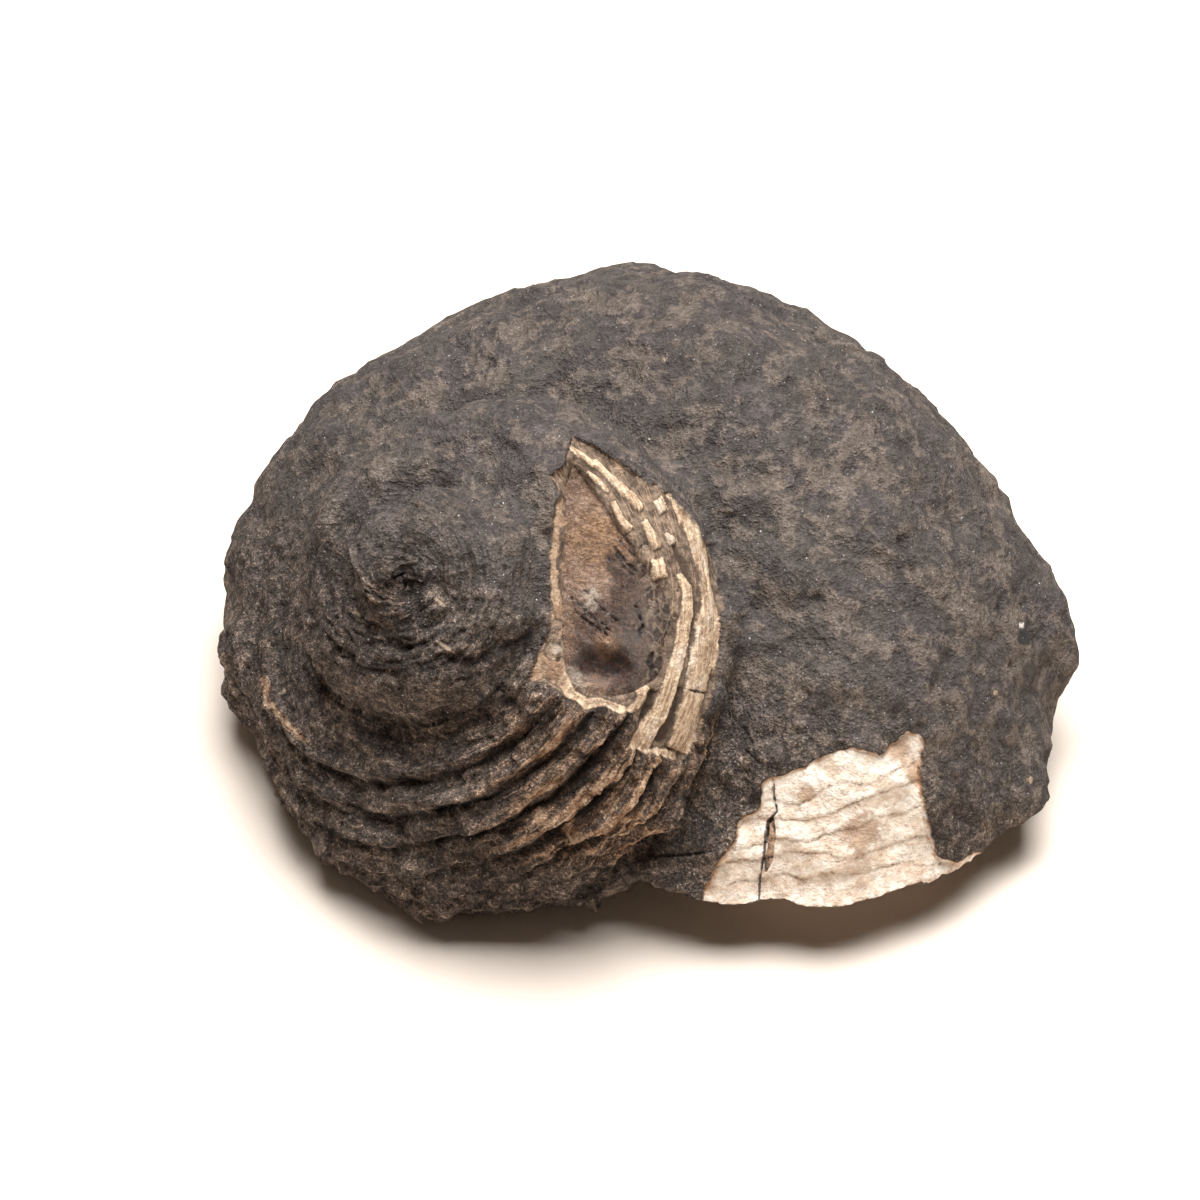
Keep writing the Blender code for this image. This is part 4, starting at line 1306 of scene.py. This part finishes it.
    def chalk(self):
        """The white shell, with stains, the edges of its layers, painted shade under those edges,
        its rusty rim and its scar.
        """
        colours, mark, ramp, noise_of = self.colours, self.mark, self.ramp, self.noise
        up, right, fleck, grit = self.up, self.right, self.fleck, self.grit
        along_layers = self.add("ShaderNodeCombineXYZ", {}, {
            0: right * 0.9, 1: (up - right * 0.12) * 3.2}).outputs[0]
        layered = noise_of(1.0, 4.0, 0.62, place=along_layers)
        # Painted shade: the white is darkened just below each layer's edge.
        under = ramp(mark("below_edge"), 0.40, 0.0)
        under = under * ramp(noise_of(0.9, 3.0, 0.6, shift=9.0), 0.40, 0.58)
        line = ramp(mark("edge") + (noise_of(0.22, 3.0, 0.7) - 0.5) * 0.30, 0.065, 0.005)
        line = line * ramp(noise_of(0.8, 3.0, 0.6, shift=3.0), 0.49, 0.60)
        seam = ramp(self.maths("ABSOLUTE", layered - 0.5), 0.016, 0.003)
        seam = seam * ramp(noise_of(0.7, 3.0, 0.6, shift=13.0), 0.50, 0.60)
        low_down = ramp(up, -10.9, -12.2) * ramp(noise_of(0.6, 4.0, 0.6, shift=11.0), 0.42, 0.6)
        rim = ramp(mark("white"), 0.14, 0.0) * ramp(fleck, 0.40, 0.54)
        stained = ramp(mark("stained") + (fleck - 0.5) * 1.4, 0.35, 0.75)
        chalk = self.mix(ramp(noise_of(0.7, 5.0, 0.65), 0.44, 0.62), colours.chalk,
                         colours.chalk_shade)
        for cover, share, colour in (
            (ramp(layered, 0.50, 0.66), 0.7, colours.chalk_shade),
            (ramp(layered, 0.60, 0.70), 0.35, colours.chalk_stain),
            (ramp(noise_of(0.28, 3.0, 0.6, shift=5.0), 0.56, 0.70), 0.45, colours.chalk_stain),
            (stained, 0.85, colours.chalk_stain),
            (under, 0.55, colours.chalk_stain),
            (line, 0.7, colours.chalk_line),
            (seam, 0.6, colours.chalk_line),
            (low_down, 0.5, colours.chalk_stain),
            (rim, 0.85, colours.chalk_rust),
        ):
            chalk = self.mix(cover * share, chalk, colour)
        chalk = self.lit(chalk, (fleck - 0.5) * 0.8 + (grit - 0.5) * 0.8 - 0.12)
        chalk = self.mix(self.specks(0.20, 0.03, 0.35) * 0.5, chalk, colours.chalk_line)
        scarred = self.coat(colours.groove, colours.chalk_stain, fleck, 0.44, 0.58)
        return self.coat(chalk, scarred, mark("scar"), -0.04, 0.02)

    def cream(self):
        """The cream remains of the shell's layers, duller on the window's left."""
        colours, ramp, mix = self.colours, self.ramp, self.mix
        fleck, blotch, streaked = self.fleck, self.blotch, self.streaked
        cream = self.coat(colours.cream_shade, colours.cream, streaked * 0.6 + fleck * 0.4,
                          0.42, 0.58)
        cream = self.coat(cream, colours.chalk, blotch, 0.52, 0.62, 0.3)
        cream = self.coat(cream, colours.layer, streaked, 0.40, 0.33, 0.8)
        on_left = ramp(self.right, 6.3, 5.8)
        cream = mix(on_left * ramp(fleck, 0.36, 0.54) * 0.9, cream, colours.cream_shade)
        cream = mix(on_left * ramp(blotch, 0.50, 0.60) * 0.6, cream, colours.worn_cord)
        return self.lit(cream, (self.grit - 0.5) * 1.8 + (self.salt - 0.5) * 1.2 - 0.16)

    def bared(self):
        """The bared layers round the window with the cream ones on them."""
        colours, mark, grit = self.colours, self.mark, self.grit
        layers = self.coat(colours.groove, colours.layer, self.blotch * 0.4 + self.fleck * 0.6,
                           0.38, 0.62)
        layers = self.coat(layers, colours.cream_shade, self.streaked, 0.52, 0.60, 0.7)
        layers = self.lit(layers, (grit - 0.5) * 1.6 + (self.salt - 0.5) * 1.2 - 0.05)
        layers = self.coat(layers, colours.groove, mark("groove"), -0.05, 0.05)
        layers = self.coat(layers, colours.groove, mark("cream"), -0.12, -0.04, 0.6)
        layers = self.coat(layers, self.cream(), mark("cream") + (grit - 0.5) * 0.05, -0.03, 0.02)
        layers = self.mix(mark("clear") * 0.9, layers, colours.calcite_clear)
        return self.coat(layers, colours.dark_pit, mark("pit"), 0.3, 0.7, 0.9)

    def finished(self):
        """The material, once its surface is joined up."""
        colours, mark = self.colours, self.mark
        bed = self.coat(colours.bed_dark, colours.bed, self.noise(0.8, 4.0, 0.6), 0.38, 0.64)
        colour = self.coat(self.crust(), self.chalk(), mark("white"), -0.03, 0.03)
        colour = self.coat(colour, self.bared(), mark("bared"), -0.04, 0.03)
        colour = self.coat(colour, bed, mark("window"), 0.10, 0.30)
        colour = self.coat(colour, colours.dark_pit, mark("crack") + (self.grit - 0.5) * 0.1,
                           -0.03, 0.01, 0.85)
        lines = self.ringed * self.spire + self.streaked * self.bold
        off_crust = self.maths("MAXIMUM", mark("white"), mark("bared"))
        calm = 1.0 - self.ramp(off_crust, -0.05, 0.05) * 0.55
        height = self.fleck * 0.50 + self.grit * 0.22 + self.salt * 0.12 + lines * 0.30
        self.surface(**{
            "Base_Color": colour, "Specular_IOR_Level": CRUST_SPECULAR,
            "Roughness": CRUST_ROUGHNESS - self.ramp(mark("window"), 0.0, 0.25) * 0.45,
            "Normal": self.bump(height * calm, CRUST_BUMP),
        })
        return self.material


def calcite_finish(colours):
    """Smoky brown calcite that lets a little light through."""
    look = Finish("brown_calcite_finish")
    mark, ramp, mix = look.mark, look.ramp, look.mix
    cloud = look.noise(0.9, 4.0, 0.6)
    vein = look.noise(0.28, 4.0, 0.7, stretch=(1.0, 2.0, 1.0))
    grit = look.noise(0.10, 3.0, 0.65)
    tone = ramp(cloud * 0.40 + vein * 0.35 + grit * 0.25, 0.40, 0.62)
    pale = mix(tone, colours.calcite_dark, colours.calcite)
    colour = mix(mark("mauve") * 0.8, pale, mix(tone, colours.calcite_dark, colours.calcite_mauve))
    colour = mix(mark("amber") * 0.9, colour, mix(tone, colours.amber_dark, colours.calcite_amber))
    colour = mix(mark("lilac") * 0.8, colour, mix(tone, colours.calcite, colours.calcite_lilac))
    colour = mix(mark("smoky"), colour, mix(tone, colours.smoky_dark, colours.smoky))
    # Painted sheen: a whitish highlight on the calcite.
    colour = mix(mark("sheen") * 0.8, colour, colours.calcite_clear)
    colour = mix(mark("pocket"), colour, mix(tone, colours.calcite_deep, colours.calcite_red))
    colour = mix(mark("rosy") * 0.8, colour, pale)
    # Painted glow of light coming back out of the pocket.
    colour = mix(mark("glow") * 0.8, colour, colours.glow)
    leaf = look.cell_chance(0.26, (1.0, 0.45, 0.45)) * 0.50 + vein * 0.50
    flakes = mix(ramp(leaf, 0.34, 0.62), colours.flake_dark, colours.flake)
    leaf_edge = ramp(look.cell_edges(0.40, (1.0, 0.6, 0.6)) + (vein - 0.5) * 0.5, 0.10, 0.0)
    flakes = mix(leaf_edge * 0.9, flakes, colours.flake_edge)
    colour = mix(mark("flaked") * (1.0 - mark("pocket") * 0.6), colour, flakes)
    colour = mix(mark("clear") * 0.85, colour, colours.calcite_clear)
    colour = mix(ramp(mark("fracture"), -0.04, 0.02) * 0.8, colour, colours.calcite_deep)
    facet = look.cell_chance(0.55, (1.0, 0.6, 0.6)) * (1.0 - mark("flaked"))
    colour = look.lit(colour, (vein - 0.5) * 2.6 + (grit - 0.5) * 2.2 + (facet - 0.5) * 0.5
                      - mark("smoky") * mark("flaked") * 0.45 - 0.22)
    roughness = CALCITE_ROUGHNESS + ramp(tone, 0.3, 0.9) * 0.2 + mark("flaked") * 0.3
    look.surface(**{
        "Base_Color": colour, "Roughness": roughness, "IOR": CALCITE_IOR,
        "Transmission_Weight": CALCITE_CLEARNESS, "Specular_IOR_Level": CALCITE_SPECULAR,
        "Normal": look.bump(vein * 0.5 + grit * 0.5 + leaf * mark("flaked"), CALCITE_BUMP),
    })
    return look.material


def colour_property(name, description, shade):
    """A colour that a user can change."""
    return bpy.props.FloatVectorProperty(name=name, description=description, subtype="COLOR",
                                         size=3, min=0.0, max=1.0, default=linear(*shade))


class FossilColours(bpy.types.PropertyGroup):
    """Colours of the crust, the bared shell and the calcite."""

    # The crust's upper and lower colours are mixed from the top right to the bottom left: more tan
    # dust above, and partly painted light and shade.
    crust: colour_property("Crust", "Body colour of the upper crust", (94, 86, 81))
    dust: colour_property("Dust", "Tan dust that lies in blotches", (130, 116, 104))
    violet: colour_property("Violet crust", "Smooth violet-grey parts of the crust",
                            (88, 80, 79))
    brown_crust: colour_property("Brown crust", "Crust between the rubbed cords", (118, 90, 68))
    dark_crust: colour_property("Dark crust", "Body colour of the lower crust", (88, 77, 70))
    dark_violet: colour_property("Dark violet crust", "Violet parts of the lower crust",
                                 (80, 72, 68))
    dark_pit: colour_property("Dark pits", "Sutures, cracks and pits of the lower crust",
                              (26, 22, 19))
    dark_dust: colour_property("Dark dust", "Tan blotches of the lower crust", (116, 100, 84))
    fleck: colour_property("Flecks", "Pale tan flecks and threads", (196, 172, 146))
    glassy: colour_property("Glassy fleck", "Dark glassy grain by the lip", (44, 46, 46))
    # Painted glints: on the glassy fleck, and the white specks of pale grains.
    glint: colour_property("Glints", "Pale mineral grains in the crust", (215, 210, 205))
    worn_cord: colour_property("Worn cords", "Crests where the crust is rubbed off",
                               (142, 106, 80))
    worn_tan: colour_property("Worn tan", "Paler parts of the rubbed crests", (206, 174, 144))
    chalk: colour_property("Chalk", "Bared white shell beside the mouth", (255, 243, 228))
    chalk_shade: colour_property("Chalk shade", "Duller parts of the white shell",
                                 (238, 216, 194))
    # Brown stains, and the painted shade under the layers' edges.
    chalk_stain: colour_property("Chalk stain", "Brown stains on the white shell",
                                 (184, 152, 126))
    chalk_rust: colour_property("Chalk rim", "Rusty rim of the white shell", (190, 140, 98))
    chalk_line: colour_property("Chalk lines", "Edges of the white shell's layers",
                                (128, 100, 80))
    cream: colour_property("Cream layers", "Broken shell layers round the window",
                           (232, 206, 174))
    cream_shade: colour_property("Cream shade", "Duller parts of the shell layers",
                                 (178, 148, 122))
    layer: colour_property("Bared layer", "Bared brown-grey layer round the window",
                           (152, 131, 112))
    groove: colour_property("Grooves", "Dark grooves between the shell layers", (84, 70, 59))
    bed: colour_property("Calcite bed", "Shell wall behind the calcite", (128, 98, 78))
    bed_dark: colour_property("Dark bed", "Deepest parts behind the calcite", (60, 40, 30))
    calcite: colour_property("Calcite", "Body colour of the calcite", (184, 148, 120))
    calcite_dark: colour_property("Dark calcite", "Browner parts of the calcite", (124, 92, 72))
    calcite_mauve: colour_property("Mauve calcite", "Calcite at the window's top",
                                   (176, 148, 128))
    calcite_amber: colour_property("Amber calcite", "Orange-brown calcite", (192, 150, 114))
    amber_dark: colour_property("Dark amber", "Browner parts of the amber calcite", (138, 102, 74))
    calcite_lilac: colour_property("Lilac calcite", "Grey-lilac calcite", (186, 158, 142))
    smoky: colour_property("Smoky calcite", "Smoky brown of the lower calcite", (112, 84, 68))
    smoky_dark: colour_property("Dark smoky calcite", "Darkest smoky brown", (52, 32, 23))
    calcite_red: colour_property("Red calcite", "Reddish calcite in the pocket", (88, 52, 37))
    calcite_deep: colour_property("Deep calcite", "Pocket and fractures of the calcite",
                                  (28, 15, 10))
    glow: colour_property("Glow", "Light that comes back out of the pocket", (176, 134, 100))
    # Clear grains, and the painted sheen on the calcite.
    calcite_clear: colour_property("Clear calcite", "Whitish clear grains", (204, 186, 168))
    flake: colour_property("Flakes", "Broken leaves beside the calcite", (190, 156, 132))
    flake_edge: colour_property("Flake edges", "Pale edges of the leaves", (226, 200, 170))
    flake_dark: colour_property("Dark flakes", "Darker leaves beside the calcite", (92, 66, 55))
    floor: colour_property("Floor", "Table that the fossil lies on", (250, 237, 224))


class FossilStage(bpy.types.PropertyGroup):
    """Sizes of the stage, its light and its camera."""

    view_width: bpy.props.FloatProperty(
        name="View width", description="Width of the picture at the fossil", unit="LENGTH",
        default=0.04494)
    camera_distance: bpy.props.FloatProperty(
        name="Camera distance", description="Distance from the camera to the fossil",
        unit="LENGTH", default=1.2)
    floor_size: bpy.props.FloatProperty(
        name="Floor size", description="Side of the floor", unit="LENGTH", default=3.0)
    lamp_size: bpy.props.FloatProperty(
        name="Lamp size", description="Side of the soft lamp", unit="LENGTH", default=0.34)
    lamp_distance: bpy.props.FloatProperty(
        name="Lamp distance", description="Distance from the lamp to the fossil",
        unit="LENGTH", default=0.45)
    lamp_power: bpy.props.FloatProperty(
        name="Lamp power", description="Power of the soft lamp", unit="POWER", default=4.4)
    fill: bpy.props.FloatProperty(
        name="Fill light", description="Strength of the even light from all round",
        default=0.10, min=0.0)


# The middle of the view on the face, and how the lamp leans back and turns.
VIEW_MIDDLE = (7.345, -1.66)
CAMERA_REACH = 10.0
LAMP_LEAN = -9.0
LAMP_TURN = 4.0
FILL_COLOUR = (1.0, 0.82, 0.66, 1.0)


def colours_of(context):
    """The colours as plain tuples, under their own names."""
    group = context.scene.fossil_colours
    names = group.__annotations__
    return type("Colours", (), {name: tuple(getattr(group, name)) for name in names})


class FOSSIL_OT_shell(bpy.types.Operator):
    """Builds the shell with its crust, bared layers and pocket"""
    bl_idname = "fossil.shell"
    bl_label = "Weathered shell"

    def execute(self, context):
        mesh = weathered_shell()
        mesh.materials.append(ShellFinish(colours_of(context)).finished())
        new_piece("weathered_shell", mesh, "fossil_shell")
        return {"FINISHED"}


class FOSSIL_OT_calcite(bpy.types.Operator):
    """Builds the brown calcite in the window"""
    bl_idname = "fossil.calcite"
    bl_label = "Window calcite"

    def execute(self, context):
        mesh = window_calcite()
        mesh.materials.append(calcite_finish(colours_of(context)))
        new_piece("window_calcite", mesh, "calcite_fill")
        return {"FINISHED"}


class FOSSIL_OT_stage(bpy.types.Operator):
    """Builds the floor, the soft light and the camera"""
    bl_idname = "fossil.stage"
    bl_label = "Stage"

    def execute(self, context):
        scene, stage = context.scene, context.scene.fossil_stage
        scene.view_settings.view_transform = "Standard"
        bpy.ops.mesh.primitive_plane_add(size=stage.floor_size)
        floor = context.object
        floor.name = "floor"
        floor.data.materials.append(floor_finish(colours_of(context)))

        world = bpy.data.worlds.new("even_light")
        world.use_nodes = True
        world.node_tree.nodes["Background"].inputs["Color"].default_value = FILL_COLOUR
        world.node_tree.nodes["Background"].inputs["Strength"].default_value = stage.fill
        scene.world = world

        lamp = bpy.data.lights.new("soft_lamp", "AREA")
        lamp.size = stage.lamp_size
        lamp.energy = stage.lamp_power
        aim = Matrix.Rotation(math.radians(LAMP_TURN), 4, "Y")
        aim = aim @ Matrix.Rotation(math.radians(LAMP_LEAN), 4, "X")
        lamp_object = bpy.data.objects.new("soft_lamp", lamp)
        lamp_object.matrix_world = aim @ Matrix.Translation((0.0, 0.0, stage.lamp_distance))
        scene.collection.objects.link(lamp_object)

        camera = bpy.data.cameras.new("camera")
        camera.lens = camera.sensor_width * stage.camera_distance / stage.view_width
        camera.clip_end = CAMERA_REACH
        camera_object = bpy.data.objects.new("camera", camera)
        middle = from_face((*VIEW_MIDDLE, 0.0)) * MM
        turned = Matrix(FACE.tolist()).transposed().to_4x4()
        turned.translation = middle + FACE[2] * stage.camera_distance
        camera_object.matrix_world = turned
        scene.collection.objects.link(camera_object)
        scene.camera = camera_object
        return {"FINISHED"}


def floor_finish(colours):
    """A pale floor that keeps the fossil's shadow."""
    look = Finish("pale_floor")
    look.surface(**{"Base_Color": (*colours.floor, 1.0), "Roughness": FLOOR_ROUGHNESS,
                    "Specular_IOR_Level": 0.0})
    return look.material


class FOSSIL_PT_panel(bpy.types.Panel):
    """Lists the fossil's pieces and colours"""
    bl_label = "Fossil sea snail shell"
    bl_idname = "FOSSIL_PT_panel"
    bl_space_type = "VIEW_3D"
    bl_region_type = "UI"
    bl_category = "Fossil"

    def draw(self, context):
        for operator in OPERATORS:
            self.layout.operator(operator.bl_idname)
        for group in (context.scene.fossil_stage, context.scene.fossil_colours):
            for name in group.__annotations__:
                self.layout.prop(group, name)


OPERATORS = (FOSSIL_OT_stage, FOSSIL_OT_shell, FOSSIL_OT_calcite)
CLASSES = (FossilColours, FossilStage, *OPERATORS, FOSSIL_PT_panel)


def register():
    for item in CLASSES:
        bpy.utils.register_class(item)
    bpy.types.Scene.fossil_colours = bpy.props.PointerProperty(type=FossilColours)
    bpy.types.Scene.fossil_stage = bpy.props.PointerProperty(type=FossilStage)


def unregister():
    del bpy.types.Scene.fossil_stage
    del bpy.types.Scene.fossil_colours
    for item in reversed(CLASSES):
        bpy.utils.unregister_class(item)


def main():
    register()
    bpy.ops.fossil.stage()
    bpy.ops.fossil.shell()
    bpy.ops.fossil.calcite()


if __name__ == "__main__":
    main()
